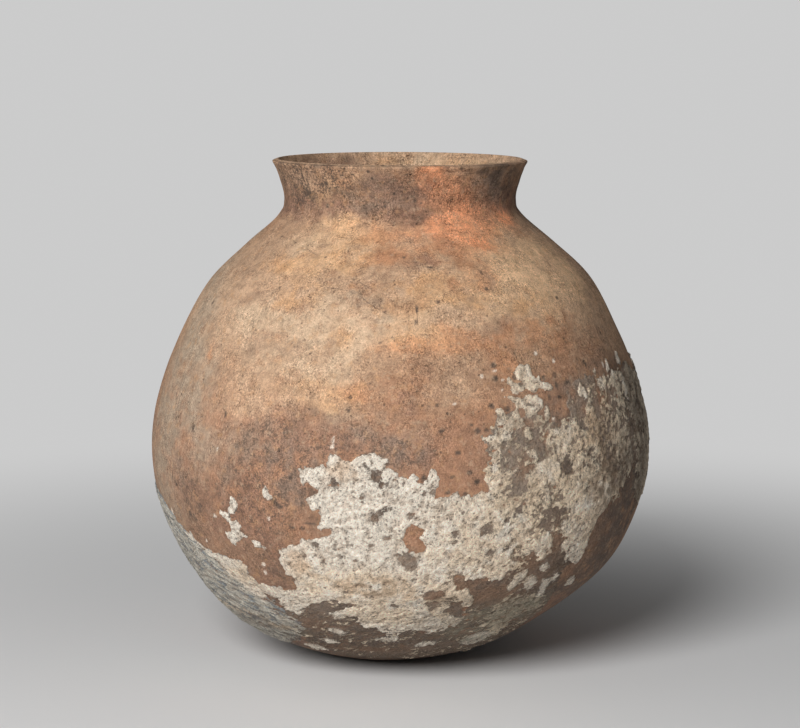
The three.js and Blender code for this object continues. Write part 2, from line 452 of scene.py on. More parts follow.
def inside_by(places, outline):
    """How far places lie inside an outline on the wall, in millimetres, and negative outside it."""
    rounds, travels = places.T
    radius = wall_radius(travels)
    nearest, inside = np.full(len(places), np.inf), np.zeros(len(places), bool)
    for (round_a, travel_a), (round_b, travel_b) in zip(outline, np.roll(outline, -1, 0)):
        x, y = (round_a - rounds) * radius, travel_a - travels
        across, along = (round_b - round_a) * radius, travel_b - travel_a
        share = np.clip(-(x * across + y * along) / (across ** 2 + along ** 2), 0.0, 1.0)
        nearest = np.minimum(nearest, np.hypot(x + share * across, y + share * along))
        crossing = (y > 0) != (y + along > 0)
        inside ^= crossing & (x - y * across / (along or 1e-9) > 0)
    return np.where(inside, nearest, -nearest)


middle_of_belly = np.array([place_seen_at(400, 440)])
belly_outline = on_wall([(380, 420), (420, 420), (420, 460), (380, 460)])
print("the middle of a 40-pixel square is %.1f mm inside it" % inside_by(middle_of_belly, belly_outline)[0])

# %% [markdown]
# ## The colours of the clay
#
# The fire coloured this jar. Flame and smoke reached one side more than another, so buff, peach
# and rust run into each other like clouds, with soot on the neck and dull brown low down. Painting
# gives that best: tones up the wall first, and then soft patches, each with a colour from one
# small palette, laid where the photograph shows them. They are kept as a colour attribute of the
# mesh. The side that it doesn't show gets patches from the same palette, scattered with a fixed seed.

# %% Palette
def display(red, green, blue):
    """A linear colour from display values between 0 and 255."""
    shares = np.array([red, green, blue]) / 255.0
    return np.where(shares <= 0.04045, shares / 12.92, ((shares + 0.055) / 1.055) ** 2.4)  # the sRGB curve


PALETTE = {
    "lime": display(248, 236, 219),
    # ivory is kept light, as it also serves as painted light on the low crust
    "ivory": display(250, 225, 194),
    "chalk": display(226, 209, 185),
    "fog": display(212, 206, 193),
    "cream": display(203, 176, 147),
    "buff": display(192, 159, 130),
    "tan": display(178, 144, 116),
    "sand": display(212, 171, 131),
    "ochre": display(200, 154, 112),
    "straw": display(226, 188, 148),
    "peach": display(230, 156, 113),
    "orange": display(196, 141, 103),
    "rust": display(168, 121, 90),
    "terracotta": display(164, 123, 97),
    "brown": display(148, 116, 94),
    "plum": display(136, 104, 87),
    "ash": display(168, 151, 131),
    "smoke": display(146, 131, 114),
    "loam": display(144, 128, 114),
    "drab": display(126, 111, 99),
    "soot": display(88, 75, 66),
    "slate": display(146, 150, 151),
    "lichen": display(156, 150, 132),
    "umber": display(106, 92, 82),
}
TONES_UP_THE_WALL = [
    (0, "umber"), (70, "umber"), (120, "plum"), (160, "brown"), (195, "brown"), (215, "terracotta"),
    (250, "terracotta"), (285, "tan"), (310, "buff"), (385, "tan"), (393, "plum"), (402, "brown"),
    (419, "tan"),
]
print(len(PALETTE), "colours, and", len(TONES_UP_THE_WALL), "tones up the wall")

# %% [markdown]
# ## Stains
#
# Each stain has a colour, a strength and a raggedness, and then its spots. A spot is given by its
# column and row in the photograph, and by its half-width and half-height in millimetres on the
# wall. Later stains cover earlier ones, as paint does.

# %% Stains that the photograph shows
STAINS = [
    ("ash", 0.8, 0.3, [
        (164, 424, 26, 62), (180, 372, 20, 36), (210, 308, 10, 8), (200, 440, 14, 20), (235, 445, 9, 9),
        (192, 406, 14, 26), (206, 300, 12, 22), (222, 268, 10, 14), (530, 222, 16, 7), (236, 232, 12, 8),
    ]),
    ("cream", 0.75, 0.5, [
        (326, 316, 18, 16), (300, 346, 26, 18), (330, 376, 14, 18), (430, 304, 16, 12), (258, 322, 18, 14),
        (352, 338, 12, 10), (385, 322, 5, 4), (312, 240, 14, 8),
    ]),
    # Straw is the clay's own colour on the upper right, and partly painted light: its spots at the right
    # shoulder's edge make that edge lighter, as light from above does.
    ("straw", 0.8, 0.3, [
        (500, 258, 30, 20), (530, 280, 30, 24), (556, 298, 14, 14), (540, 250, 18, 12), (500, 290, 20, 12),
        (572, 300, 10, 16), (350, 240, 18, 8), (500, 262, 20, 8), (566, 268, 12, 16), (515, 302, 20, 9),
        (550, 300, 16, 10), (576, 296, 8, 14),
    ]),
    ("sand", 0.8, 0.5, [
        (440, 303, 16, 9), (345, 234, 20, 9), (432, 340, 14, 8), (440, 282, 14, 6), (345, 262, 14, 8),
        (305, 262, 14, 8), (330, 398, 14, 8), (405, 332, 12, 6), (335, 185, 10, 6), (355, 178, 8, 5),
        (320, 200, 10, 5),
    ]),
    ("buff", 0.7, 0.5, [
        (232, 280, 20, 20), (580, 320, 12, 16), (250, 384, 16, 10), (505, 318, 14, 8), (592, 330, 8, 14),
        (370, 175, 8, 5), (300, 182, 14, 8),
    ]),
    ("ochre", 0.7, 0.6, [
        (300, 290, 14, 8), (280, 262, 12, 6), (520, 300, 12, 8), (335, 334, 6, 6), (362, 196, 8, 4),
        (283, 303, 5, 4), (470, 300, 12, 6), (400, 300, 16, 8), (556, 332, 12, 8), (360, 252, 16, 8),
        (410, 284, 14, 6), (488, 236, 10, 6), (300, 392, 14, 8),
    ]),
    ("orange", 0.7, 0.5, [
        (385, 236, 20, 9), (478, 240, 14, 9), (453, 194, 12, 8), (425, 177, 7, 6), (470, 338, 16, 7),
        (520, 338, 20, 9), (455, 330, 8, 6), (478, 275, 10, 8), (208, 350, 2.5, 7), (345, 186, 6, 6),
        (545, 330, 12, 8), (440, 352, 12, 8), (395, 252, 10, 5), (438, 250, 16, 7), (355, 395, 12, 6),
        (480, 408, 14, 12), (505, 372, 8, 8), (470, 186, 8, 6), (400, 346, 14, 6), (432, 200, 8, 5),
        (482, 222, 12, 6),
    ]),
    ("peach", 0.85, 0.25, [
        (454, 221, 22, 12), (500, 213, 10, 7), (432, 172, 6, 6), (462, 206, 12, 7), (436, 188, 8, 7),
        (476, 238, 12, 10), (448, 238, 10, 7), (428, 232, 10, 5),
    ]),
    ("rust", 0.75, 0.5, [
        (392, 253, 12, 7), (522, 232, 8, 7), (562, 326, 10, 6), (556, 352, 16, 8), (590, 352, 16, 14),
        (608, 362, 9, 14), (446, 246, 10, 6), (360, 284, 8, 4), (468, 262, 10, 5), (490, 352, 12, 8),
        (566, 372, 14, 12), (410, 385, 16, 10), (440, 262, 10, 4), (456, 285, 8, 4), (510, 332, 10, 6),
        (390, 410, 14, 6), (420, 402, 8, 5), (482, 196, 8, 6), (445, 208, 8, 4),
    ]),
    ("terracotta", 0.9, 0.3, [
        (414, 545, 14, 22), (458, 452, 22, 14), (470, 470, 10, 8), (472, 425, 14, 10), (548, 398, 12, 14),
        (250, 512, 18, 12), (296, 530, 12, 10), (212, 478, 16, 14), (240, 470, 14, 10), (185, 455, 6, 16),
        (455, 425, 14, 10),
    ]),
    ("plum", 0.65, 0.6, [
        (396, 195, 28, 10), (420, 262, 8, 3), (284, 415, 12, 8), (250, 442, 14, 12), (275, 440, 14, 12),
        (406, 396, 9, 6), (230, 500, 16, 10), (488, 192, 7, 5), (300, 440, 12, 10), (180, 480, 10, 14),
        (420, 462, 14, 8), (340, 445, 16, 8), (222, 530, 20, 10), (275, 560, 14, 12), (310, 425, 12, 6),
        (388, 190, 8, 6), (420, 210, 10, 4), (200, 505, 12, 12), (255, 530, 14, 12), (252, 516, 8, 6),
        (206, 524, 8, 5), (276, 548, 8, 10), (232, 470, 8, 6), (390, 178, 8, 4), (250, 480, 14, 8),
        (285, 572, 12, 10), (375, 196, 6, 4), (262, 578, 6, 5),
    ]),
    ("brown", 0.5, 0.7, [
        (400, 299, 14, 7), (440, 372, 16, 7), (380, 282, 10, 4), (415, 205, 24, 5), (345, 204, 22, 5),
        (520, 196, 6, 8), (290, 350, 8, 4), (375, 268, 10, 4), (470, 372, 12, 6), (480, 396, 12, 6),
        (255, 296, 8, 5), (345, 172, 24, 4), (300, 305, 6, 4), (328, 352, 4, 8), (265, 340, 10, 7),
        (360, 300, 8, 3), (445, 315, 7, 4), (248, 262, 8, 5), (505, 320, 9, 5),
    ]),
    ("smoke", 0.4, 0.8, [
        (410, 239, 8, 3), (360, 296, 16, 4), (380, 320, 6, 5), (482, 276, 3, 8), (360, 434, 7, 5),
        (430, 394, 8, 4), (370, 412, 12, 5), (220, 425, 6, 4), (410, 430, 12, 8), (350, 420, 10, 6),
        (490, 330, 8, 4), (250, 444, 18, 10), (372, 206, 12, 4), (345, 196, 8, 4), (198, 460, 14, 14),
        (174, 458, 12, 16), (225, 480, 8, 8),
    ]),
    ("buff", 0.7, 0.5, [(254, 406, 22, 10), (450, 391, 14, 7), (300, 393, 14, 6)]),
    ("drab", 0.7, 0.5, [
        (493, 181, 13, 8), (500, 196, 8, 5), (400, 460, 12, 8), (390, 447, 18, 7), (290, 470, 12, 14),
        (305, 462, 12, 6), (300, 500, 8, 8), (560, 445, 30, 20), (530, 470, 24, 30), (600, 440, 24, 50),
        (545, 420, 12, 8), (560, 500, 12, 12), (575, 395, 8, 8), (612, 380, 10, 20), (548, 560, 20, 10),
        (575, 470, 20, 20), (490, 592, 34, 10),
    ]),
    ("soot", 0.75, 0.4, [
        (498, 183, 6, 5), (514, 178, 7, 13), (521, 188, 6, 14), (506, 168, 10, 3.5), (636, 440, 18, 40),
        (622, 380, 12, 26), (628, 500, 18, 24), (305, 196, 5, 4), (488, 171, 10, 2.5), (612, 540, 24, 22),
        (572, 583, 20, 12), (273, 602, 6, 5), (560, 510, 7, 5), (640, 470, 12, 30), (310, 490, 6, 3.5),
        (318, 528, 6, 3), (370, 163, 24, 0.9), (600, 560, 14, 20),
    ]),
    ("slate", 0.9, 0.3, [
        (212, 585, 16, 16), (236, 600, 16, 14), (260, 616, 14, 10), (190, 565, 14, 14), (285, 622, 8, 6),
        (240, 572, 6, 4),
    ]),
    ("umber", 0.35, 0.6, [(374, 190, 24, 10), (408, 198, 12, 8), (304, 415, 8, 6)]),
    ("umber", 0.85, 0.4, [
        (620, 520, 22, 46), (598, 570, 20, 20), (582, 578, 18, 16), (575, 592, 30, 16), (530, 625, 30, 12),
        (330, 622, 22, 6), (365, 636, 16, 6), (430, 640, 20, 5), (400, 655, 40, 10), (300, 632, 12, 8),
        (250, 632, 20, 10), (520, 632, 20, 10), (325, 604, 12, 2.5), (411, 566, 12, 8), (560, 590, 20, 6),
        (300, 575, 14, 8),
    ]),
]
print(sum(len(spots) for *_, spots in STAINS), "spots in", len(STAINS), "stains")

# %% [markdown]
# ## Marks and scratches
#
# The larger voids, where grit or chaff has come out of the clay, and the small crumbs of lime on it
# are placed one by one. They are patches too, but small and with firm edges. Scratches and wiping
# marks are lines with a few corners each. All of them were read off the photograph.

# %% Marks and scratches
DARK_MARKS = [
    (404, 257, 1.1, 0.9), (326, 184, 1.4, 1.3), (344, 169, 0.8, 0.9), (352, 175, 1.2, 0.8),
    (368, 172, 1.1, 1.0), (372, 179, 0.8, 0.8), (394, 194, 0.8, 1.0), (405, 190, 0.8, 0.8),
    (415, 201, 1.1, 0.7), (421, 203, 0.8, 0.7), (414, 181, 0.8, 0.7), (385, 206, 0.8, 1.3),
    (302, 177, 0.8, 3.0), (327, 206, 1.3, 1.2), (333, 203, 0.8, 0.9), (385, 311, 0.8, 0.8),
    (392, 337, 0.8, 0.8), (380, 343, 0.7, 0.7), (348, 410, 1.3, 1.3), (225, 414, 1.0, 2.2),
    (492, 406, 1.9, 1.8), (494, 365, 1.9, 1.8), (443, 430, 1.1, 1.0), (437, 405, 1.3, 0.9),
    (192, 427, 1.0, 2.8), (387, 425, 0.8, 0.8), (417, 309, 0.7, 2.6), (416, 322, 0.7, 1.6),
    (435, 450, 0.8, 0.7), (412, 382, 0.9, 0.7), (279, 287, 0.9, 0.8), (310, 297, 0.9, 0.8),
    (281, 236, 1.0, 0.7), (212, 302, 1.0, 1.6), (430, 267, 1.8, 0.8), (481, 272, 0.8, 1.5),
    (486, 288, 1.0, 1.6), (472, 425, 0.9, 0.8), (556, 297, 1.3, 0.9), (438, 301, 1.4, 1.2),
    (290, 478, 1.2, 1.0), (200, 506, 0.8, 1.2), (172, 474, 0.8, 2.2), (176, 484, 0.8, 1.3),
    (453, 477, 1.4, 1.2), (470, 473, 1.8, 1.2), (477, 482, 1.7, 1.6), (466, 494, 1.4, 1.0),
    (448, 493, 1.6, 1.1), (424, 479, 1.8, 2.4), (585, 363, 1.4, 2.8), (555, 375, 1.6, 1.5),
    (557, 385, 1.3, 2.2), (568, 382, 3.4, 0.7), (550, 397, 1.1, 1.6), (507, 409, 2.2, 2.0),
    (497, 414, 1.1, 1.0), (544, 378, 1.4, 1.6), (560, 397, 1.4, 1.4), (487, 430, 1.4, 1.2),
    (458, 453, 1.6, 1.4), (441, 432, 1.2, 1.0), (515, 377, 1.8, 1.4), (496, 378, 1.8, 1.5),
    (478, 431, 1.8, 1.6), (273, 500, 1.4, 2.2), (276, 505, 2.0, 1.8), (280, 507, 1.8, 1.2),
    (302, 529, 1.2, 1.6), (292, 528, 1.6, 1.0), (310, 524, 4.0, 0.9), (190, 514, 1.6, 2.2),
    (295, 511, 0.9, 0.8), (299, 166, 0.9, 0.8), (326, 256, 0.8, 0.7), (293, 172, 0.8, 0.8),
    (297, 188, 1.0, 0.8), (311, 200, 1.0, 1.2),
]
PALE_MARKS = [
    (482, 376, 1.1, 0.9), (495, 370, 1.5, 0.8), (217, 449, 0.8, 0.7), (333, 440, 1.0, 2.0),
    (332, 447, 0.9, 1.4), (536, 353, 1.3, 1.2), (554, 361, 1.0, 1.3), (554, 419, 1.2, 0.9),
    (263, 565, 1.3, 1.6), (265, 573, 1.3, 1.4), (172, 512, 1.6, 3.0), (618, 356, 1.2, 2.4),
    (603, 364, 0.9, 2.2), (595, 370, 1.0, 1.4), (455, 403, 1.3, 0.7), (281, 627, 4.0, 2.0),
    (300, 632, 2.6, 0.9), (576, 414, 1.2, 1.2), (592, 385, 1.2, 1.6), (206, 541, 0.9, 1.0),
    (264, 549, 1.0, 0.8), (503, 380, 1.0, 0.9), (503, 390, 0.8, 0.8), (268, 519, 0.9, 1.0),
    (510, 643, 5.0, 0.9), (214, 516, 1.8, 0.9),
]
SCRATCHES = [
    [(279, 235), (287, 237), (293, 240), (300, 243), (307, 248), (314, 253)],
    [(322, 286), (335, 288), (348, 290), (360, 296), (372, 305), (384, 312)],
    [(360, 282), (370, 288)],
    [(239, 289), (246, 283)],
    [(252, 266), (263, 260)],
    [(254, 260), (262, 250), (268, 244)],
    [(484, 202), (490, 199), (498, 198)],
    [(494, 178), (495, 186), (498, 194), (494, 201)],
    [(458, 176), (464, 172)],
    [(470, 174), (482, 172)],
    [(416, 304), (417, 312), (418, 324)],
    [(325, 257), (331, 264)],
    [(408, 262), (414, 268)],
    [(427, 266), (438, 268)],
    [(224, 410), (226, 417)],
    [(192, 421), (191, 430)],
    [(207, 305), (214, 293)],
    [(302, 160), (304, 182)],
]
print(len(DARK_MARKS), "dark marks,", len(PALE_MARKS), "pale ones and", len(SCRATCHES), "scratches")

# %% [markdown]
# ## Laying the patches
#
# A patch fades out like a bell. Noise moves all places about before the patches are laid, which
# gives them uneven outlines, and more noise breaks up their edges. Vector noise takes its seed
# from the clock unless it is given one, so it gets a fixed one, and the jar always looks the same.
# A scratch is narrower than a cell of the mesh. So each vertex keeps its distance to the nearest
# scratch, negative on one side, and the material draws a line where that distance is nought.

# %% Laying the patches
PATCH_REACH = 2.6
HIDDEN_PATCHES, HIDDEN_SEED = 150, 7
HIDDEN_STRENGTH, HIDDEN_RAGGEDNESS = 0.6, 0.6
NECK_TRAVEL, SHOULDER_TRAVEL = 390, 270
RAGGED_GAIN = 2.4
WANDERINGS = ((26.0, 7.0, 35), (9.0, 4.5, 36), (3.5, 2.4, 37))  # size, reach and seed
WANDER_SEED = 2
SCRATCH_REACH, NO_SCRATCH = 30.0, 9.0


def how_far_round(rounds, around):
    """The turn from one direction to others, the short way, in radians."""
    return (rounds - around + math.pi) % (2 * math.pi) - math.pi


def patch_cover(places, around, along, width, height):
    """How strongly a soft patch of this half-width and half-height covers each place, from 0 to 1."""
    cover = np.zeros(len(places))
    near = np.flatnonzero(abs(places[:, 1] - along) < PATCH_REACH * height)
    across = how_far_round(places[near, 0], around) * wall_radius(along) / width
    cover[near] = np.exp(-across ** 2 - ((places[near, 1] - along) / height) ** 2)
    return cover


def mixed(colors, color, amount):
    """Colours moved towards one colour by an amount for each of them."""
    return colors + (color - colors) * amount[:, None]


def scattered_patches():
    """Patches for the hidden side: colour, degrees round, travel, half-width, half-height."""
    draw = random.Random(HIDDEN_SEED)
    patches = []
    for _ in range(HIDDEN_PATCHES):
        travel = draw.uniform(90, 400)
        if travel > NECK_TRAVEL:
            color = draw.choice(["brown", "plum", "soot", "orange"])
        elif travel > SHOULDER_TRAVEL:
            color = draw.choice(["cream", "sand", "tan", "orange", "rust", "buff", "smoke"])
        else:
            color = draw.choice(["rust", "plum", "brown", "smoke", "orange", "terracotta", "soot"])
        size = draw.uniform(6, 26)
        patches.append((color, draw.uniform(88, 272), travel, size, size * draw.uniform(0.4, 0.8)))
    return patches


def broken_up(cover, ragged, drift):
    """Turns a soft patch into a stain with uneven, broken edges."""
    return np.clip(cover * (1.0 + RAGGED_GAIN * ragged * drift), 0.0, 1.0)


def wandering(points, places):
    """The places moved about by noise, so that what is painted at them gets an uneven outline."""
    noise.seed_set(WANDER_SEED)
    moved = places.copy()
    for size, reach, seed in WANDERINGS:
        shift = Vector((seed * 3.1, seed * 7.7, seed * 1.9))
        wander = reach * np.array([noise.noise_vector(Vector(p) / size + shift)[:2] for p in points])
        moved += wander / np.stack([wall_radius(places[:, 1]), np.ones(len(places))], 1)
    return moved


def patches_cover(places, patches):
    """How strongly places are covered by any of the spots, given as (u, v, half-width, half-height)."""
    bare = np.ones(len(places))
    for u, v, width, height in patches:
        bare *= 1.0 - patch_cover(places, *place_seen_at(u, v), width, height)
    return 1.0 - bare


print(len(scattered_patches()), "patches are scattered on the hidden side")

# %% [markdown]
# ## The colours of the clay, put together
#
# The tones up the wall come first, then the patches of the hidden side, and the stains that the
# photograph shows last. Scratches are not painted: the mesh only learns how near they are.

# %% The clay's colours and scratches
PAINT_DRIFT = ((1.0, 12.0, 32), (0.7, 4.5, 33))  # strength, size and seed of each noise


def layered_noise(points, layers):
    """A sum of noises, each given by its strength, its size in millimetres and its seed."""
    return sum(strength * noise_at(points, size, seed) for strength, size, seed in layers)


def clay_colors(points, places):
    """The colour of the clay at each place: tones up the wall, then the patches."""
    places = wandering(points, places)
    heights = [travel for travel, _ in TONES_UP_THE_WALL]
    tones = np.array([PALETTE[name] for _, name in TONES_UP_THE_WALL])
    colors = np.stack([np.interp(places[:, 1], heights, tones[:, i]) for i in range(3)], 1)
    drift = layered_noise(points, PAINT_DRIFT)
    for name, degrees, travel, width, height in scattered_patches():
        cover = patch_cover(places, math.radians(degrees), travel, width, height)
        hidden = HIDDEN_STRENGTH * broken_up(cover, HIDDEN_RAGGEDNESS, drift)
        colors = mixed(colors, PALETTE[name], hidden)
    for name, amount, ragged, spots in STAINS:
        cover = patches_cover(places, spots)
        colors = mixed(colors, PALETTE[name], amount * broken_up(cover, ragged, drift))
    return colors


def scratch_distance(places):
    """The distance in millimetres to the nearest scratch, negative on one side of it."""
    nearest = np.full(len(places), NO_SCRATCH)
    for scratch in SCRATCHES:
        for start, end in zip(on_wall(scratch), on_wall(scratch[1:])):
            near = np.flatnonzero(abs(places[:, 1] - start[1]) < SCRATCH_REACH)
            radius = wall_radius(start[1])
            away = inside_by(places[near], np.array([start, end]))
            side = ((places[near, 0] - start[0]) * radius * (end[1] - start[1])
                    - (places[near, 1] - start[1]) * (end[0] - start[0]) * radius)
            nearest[near] = np.where(abs(away) < abs(nearest[near]), np.sign(side) * -away, nearest[near])
    return nearest


near_scratch = scratch_distance(on_wall([(350, 292)]))
print("the wall at column 350 and row 292 is %.1f mm from a scratch" % abs(near_scratch[0]))

# %% [markdown]
# ## Specks of soot
#
# Soot and dark sand lie thickly on the left of the neck and around the crust, and thinly
# elsewhere. The mesh carries how thickly, and the material scatters the specks.

# %% How thickly the specks lie
SPECKS_ANYWHERE, SPECKS_VARY_BY = 0.22, 0.12
SPECKLED = [
    (0.95, [(300, 190, 26, 14), (330, 180, 22, 10), (285, 175, 14, 14), (310, 172, 16, 8)]),
    (0.8, [
        (270, 450, 24, 22), (295, 480, 16, 20), (392, 456, 22, 14), (620, 420, 24, 60), (350, 445, 22, 8),
        (250, 500, 36, 34), (190, 500, 14, 24), (285, 570, 16, 16),
    ]),
    (0.6, [
        (390, 190, 34, 14), (500, 190, 20, 14), (590, 340, 24, 20), (350, 195, 24, 12), (545, 350, 30, 16),
    ]),
    (0.45, [(480, 400, 34, 26), (340, 420, 40, 22), (420, 350, 40, 16), (300, 330, 40, 30)]),
]


def speck_density(points, places):
    """How thickly specks lie at each place, from 0 to 1."""
    density = SPECKS_ANYWHERE + SPECKS_VARY_BY * noise_at(points, 22.0, 41)
    hidden = smooth(np.abs(how_far_round(places[:, 0], 0.0)), math.radians(80), math.radians(100))
    density += 0.35 * hidden * smooth(noise_at(points, 40.0, 42), -0.1, 0.4)
    for amount, spots in SPECKLED:
        cover = patches_cover(places, spots)
        density = np.maximum(density, amount * smooth(cover, 0.1, 0.8))
    return np.clip(density, 0.0, 1.0)


print("specks are listed for", sum(len(spots) for _, spots in SPECKLED), "spots")

# %% [markdown]
# ## The inner wall, and painting
#
# Only the upper strip of the inner wall shows. It is light tan at the mouth and browner below,
# where no light of the fire reached it, and it has a few stains of its own, given by degrees
# round the jar and by travel. With that, all the paint is there, and each piece of clay gets
# its colour, its specks and its distance to a scratch.

# %% Painting the clay
INNER_SPECKS = 0.2
INNER_DRIFT = ((1.0, 14.0, 51), (0.8, 5.0, 52))
INNER_STAIN_STRENGTH = 0.7


def add_colors(data, name, colors):
    layer = data.attributes.new(name, "FLOAT_COLOR", "POINT")
    with_alpha = np.column_stack([colors, np.ones(len(colors))])
    layer.data.foreach_set("color", with_alpha.astype(np.float32).ravel())


def add_numbers(data, name, numbers):
    data.attributes.new(name, "FLOAT", "POINT").data.foreach_set("value", numbers.astype(np.float32))


INNER_STAINS = [
    ("cream", 170, 410, 34, 9), ("brown", 152, 414, 9, 3), ("sand", 140, 410, 24, 8),
    ("plum", 215, 406, 26, 8), ("ochre", 186, 413, 12, 3), ("brown", 196, 410, 8, 3),
    ("cream", 128, 408, 14, 6), ("brown", 236, 412, 20, 7),
]


def inner_colors(points, places):
    """The colour of the clay inside: light tan at the mouth and browner below."""
    drift = layered_noise(points, INNER_DRIFT)
    depth = np.clip(smooth(fine_travel[-1] - places[:, 1], 4.0, 60.0) + 0.25 * drift, 0.0, 1.0)
    colors = mixed(np.tile(PALETTE["buff"], (len(points), 1)), PALETTE["plum"], depth)
    for name, degrees, travel, width, height in INNER_STAINS:
        cover = patch_cover(places, math.radians(degrees), travel, width, height)
        stained = INNER_STAIN_STRENGTH * broken_up(cover, HIDDEN_RAGGEDNESS, drift)
        colors = mixed(colors, PALETTE[name], stained)
    return colors


for name, (piece, points, places, outside) in clay_pieces.items():
    colors = inner_colors(points, places)
    specks = np.full(len(points), INNER_SPECKS)
    scratched = np.full(len(points), NO_SCRATCH)
    points, places = points[outside], places[outside]
    dark = 0.9 * smooth(patches_cover(places, DARK_MARKS), 0.22, 0.55)
    pale = 0.8 * smooth(patches_cover(places, PALE_MARKS), 0.25, 0.7)
    outer_colors = mixed(clay_colors(points, places), PALETTE["soot"], dark)
    colors[outside] = mixed(outer_colors, PALETTE["lime"], pale)
    specks[outside] = speck_density(points, places)
    scratched[outside] = scratch_distance(places)
    add_colors(piece.data, "tint", colors)
    add_numbers(piece.data, "specks", specks)
    add_numbers(piece.data, "scratch", scratched)
    print(name, "is painted on", len(colors), "vertices")

# %% [markdown]
# ## Where the crust lies
#
# Lime from wet ground has grown on the lower wall in sheets with ragged edges. The edges are
# followed in the photograph, with a corner where they turn, and every corner is sent to its
# place on the wall. How far a vertex lies inside such an outline then says whether crust lies
# there. The largest sheet covers the front, below the widest point.

# %% The large sheet
MAIN_SHEET = [
    (331, 453), (336, 456), (341, 460), (351, 461), (362, 456), (368, 453), (377, 455), (386, 457),
    (389, 460), (387, 467), (395, 472), (399, 477), (405, 476), (409, 479), (412, 471), (417, 476),
    (419, 482), (424, 484), (427, 477), (431, 470), (436, 472), (440, 480), (437, 490), (436, 498),
    (447, 498), (453, 494), (458, 492), (462, 498), (468, 494), (473, 496), (480, 492), (490, 492),
    (497, 500), (500, 512), (506, 525), (508, 540), (512, 552), (510, 559), (517, 563), (513, 570),
    (508, 571), (500, 580), (492, 581), (487, 577), (484, 579), (466, 580), (455, 576), (453, 583),
    (458, 590), (462, 589), (468, 586), (470, 593), (473, 597), (474, 602), (470, 606), (464, 607),
    (466, 617), (463, 620), (456, 628), (450, 627), (445, 631), (428, 634), (420, 631), (400, 632),
    (397, 640), (385, 635), (379, 631), (374, 628), (368, 629), (361, 626), (357, 622), (358, 618),
    (346, 616), (340, 618), (327, 613), (343, 609), (356, 606), (340, 604), (335, 600), (327, 601),
    (319, 603), (311, 605), (303, 612), (300, 615), (293, 612), (286, 610), (280, 605), (278, 598),
    (279, 590), (288, 591), (294, 590), (297, 588), (295, 579), (287, 575), (284, 567), (279, 563),
    (279, 551), (284, 549), (291, 546), (299, 544), (302, 541), (310, 540), (320, 539), (328, 536),
    (330, 531), (326, 529), (320, 531), (318, 527), (320, 521), (320, 514), (318, 511), (312, 510),
    (310, 506), (305, 498), (310, 497), (318, 493), (319, 489), (313, 487), (309, 482), (303, 485),
    (300, 482), (299, 475), (298, 469), (303, 470), (304, 464), (307, 467), (315, 468), (321, 463),
    (326, 468), (327, 460),
]
main_places = on_wall(MAIN_SHEET)
print("the large sheet spans %.0f degrees and %.0f mm of the wall" % (
    math.degrees(np.ptp(main_places[:, 0])), np.ptp(main_places[:, 1])))

# %% [markdown]
# ## Smaller sheets on the right
#
# Towards the right, crust has come off in parts. What is left are a piece at the top with its
# tail, two bands that run down, a bank and a strip, and bits on their own between them.

# %% Smaller sheets on the right
UPPER_PIECE = [
    (524, 364), (528, 363), (531, 367), (533, 374), (536, 377), (540, 374), (541, 380), (547, 383),
    (551, 384), (554, 388), (547, 391), (541, 389), (537, 388), (535, 394), (531, 392), (528, 389),
    (520, 391), (513, 393), (509, 391), (511, 387), (508, 384), (506, 379), (509, 376), (513, 380),
    (517, 384), (521, 381), (515, 374), (513, 371), (518, 366),
]
UPPER_TAIL = [
    (507, 396), (511, 394), (515, 398), (520, 399), (525, 397), (530, 394), (536, 394), (542, 397),
    (545, 403), (542, 410), (537, 413), (531, 416), (526, 413), (529, 409), (522, 408), (518, 409),
    (514, 404),
]
UPPER_DROP = [(546, 402), (549, 406), (550, 412), (552, 418), (547, 420), (544, 415), (545, 408)]
LEFT_BAND = [
    (500, 419), (509, 419), (512, 412), (517, 411), (521, 418), (527, 424), (522, 428), (515, 428),
    (509, 433), (512, 439), (511, 449), (507, 450), (503, 442), (501, 448), (503, 458), (499, 464),
    (496, 467), (501, 471), (507, 474), (518, 467), (518, 471), (508, 478), (498, 487), (492, 494),
    (486, 484), (484, 480), (492, 472), (493, 464), (489, 461), (494, 449), (490, 443), (482, 438),
    (495, 433), (497, 424),
]
LEFT_BAND_HEAD = [(496, 411), (501, 408), (506, 410), (502, 414)]
RIGHT_BAND = [
    (548, 424), (553, 430), (560, 428), (567, 428), (573, 421), (577, 425), (577, 431), (571, 442),
    (570, 450), (560, 463), (557, 449), (556, 443), (549, 447), (548, 443), (554, 437), (549, 431),
]
MIDDLE_LIME = [
    (522, 479), (530, 474), (538, 464), (548, 458), (561, 462), (562, 468), (554, 477), (557, 486),
    (551, 485), (547, 478), (546, 487), (540, 484), (536, 480), (526, 481),
]
MIDDLE_LIME_FOOT = [(534, 499), (540, 490), (547, 487), (551, 491), (549, 502), (544, 507)]
STRIP_HEAD = [(566, 491), (572, 483), (578, 479), (584, 484), (580, 493), (574, 499), (568, 501)]
FIELD_BITS = [
    [(591, 382), (594, 382), (595, 386), (592, 388)],
    [(597, 377), (601, 376), (604, 384), (606, 390), (602, 391), (598, 385)],
    [(591, 409), (595, 410), (597, 418), (593, 420), (591, 414)],
    [(620, 370), (623, 374), (626, 384), (629, 391), (629, 402), (626, 398), (624, 388), (621, 378)],
    [(615, 351), (617, 352), (619, 358), (621, 366), (618, 365), (616, 358)],
    [(606, 360), (608, 362), (609, 368), (608, 374), (606, 368)],
    [(611, 368), (613, 370), (616, 378), (616, 386), (613, 382), (611, 375)],
]
MIDDLE_PIECE = [(527, 446), (536, 452), (537, 457), (533, 458), (524, 450)]
LOWER_BANK = [
    (512, 520), (522, 512), (533, 518), (530, 530), (537, 540), (545, 530), (550, 530), (552, 537),
    (553, 548), (548, 556), (543, 560), (538, 561), (534, 551), (527, 556), (522, 554), (510, 556),
    (498, 540), (500, 525),
]
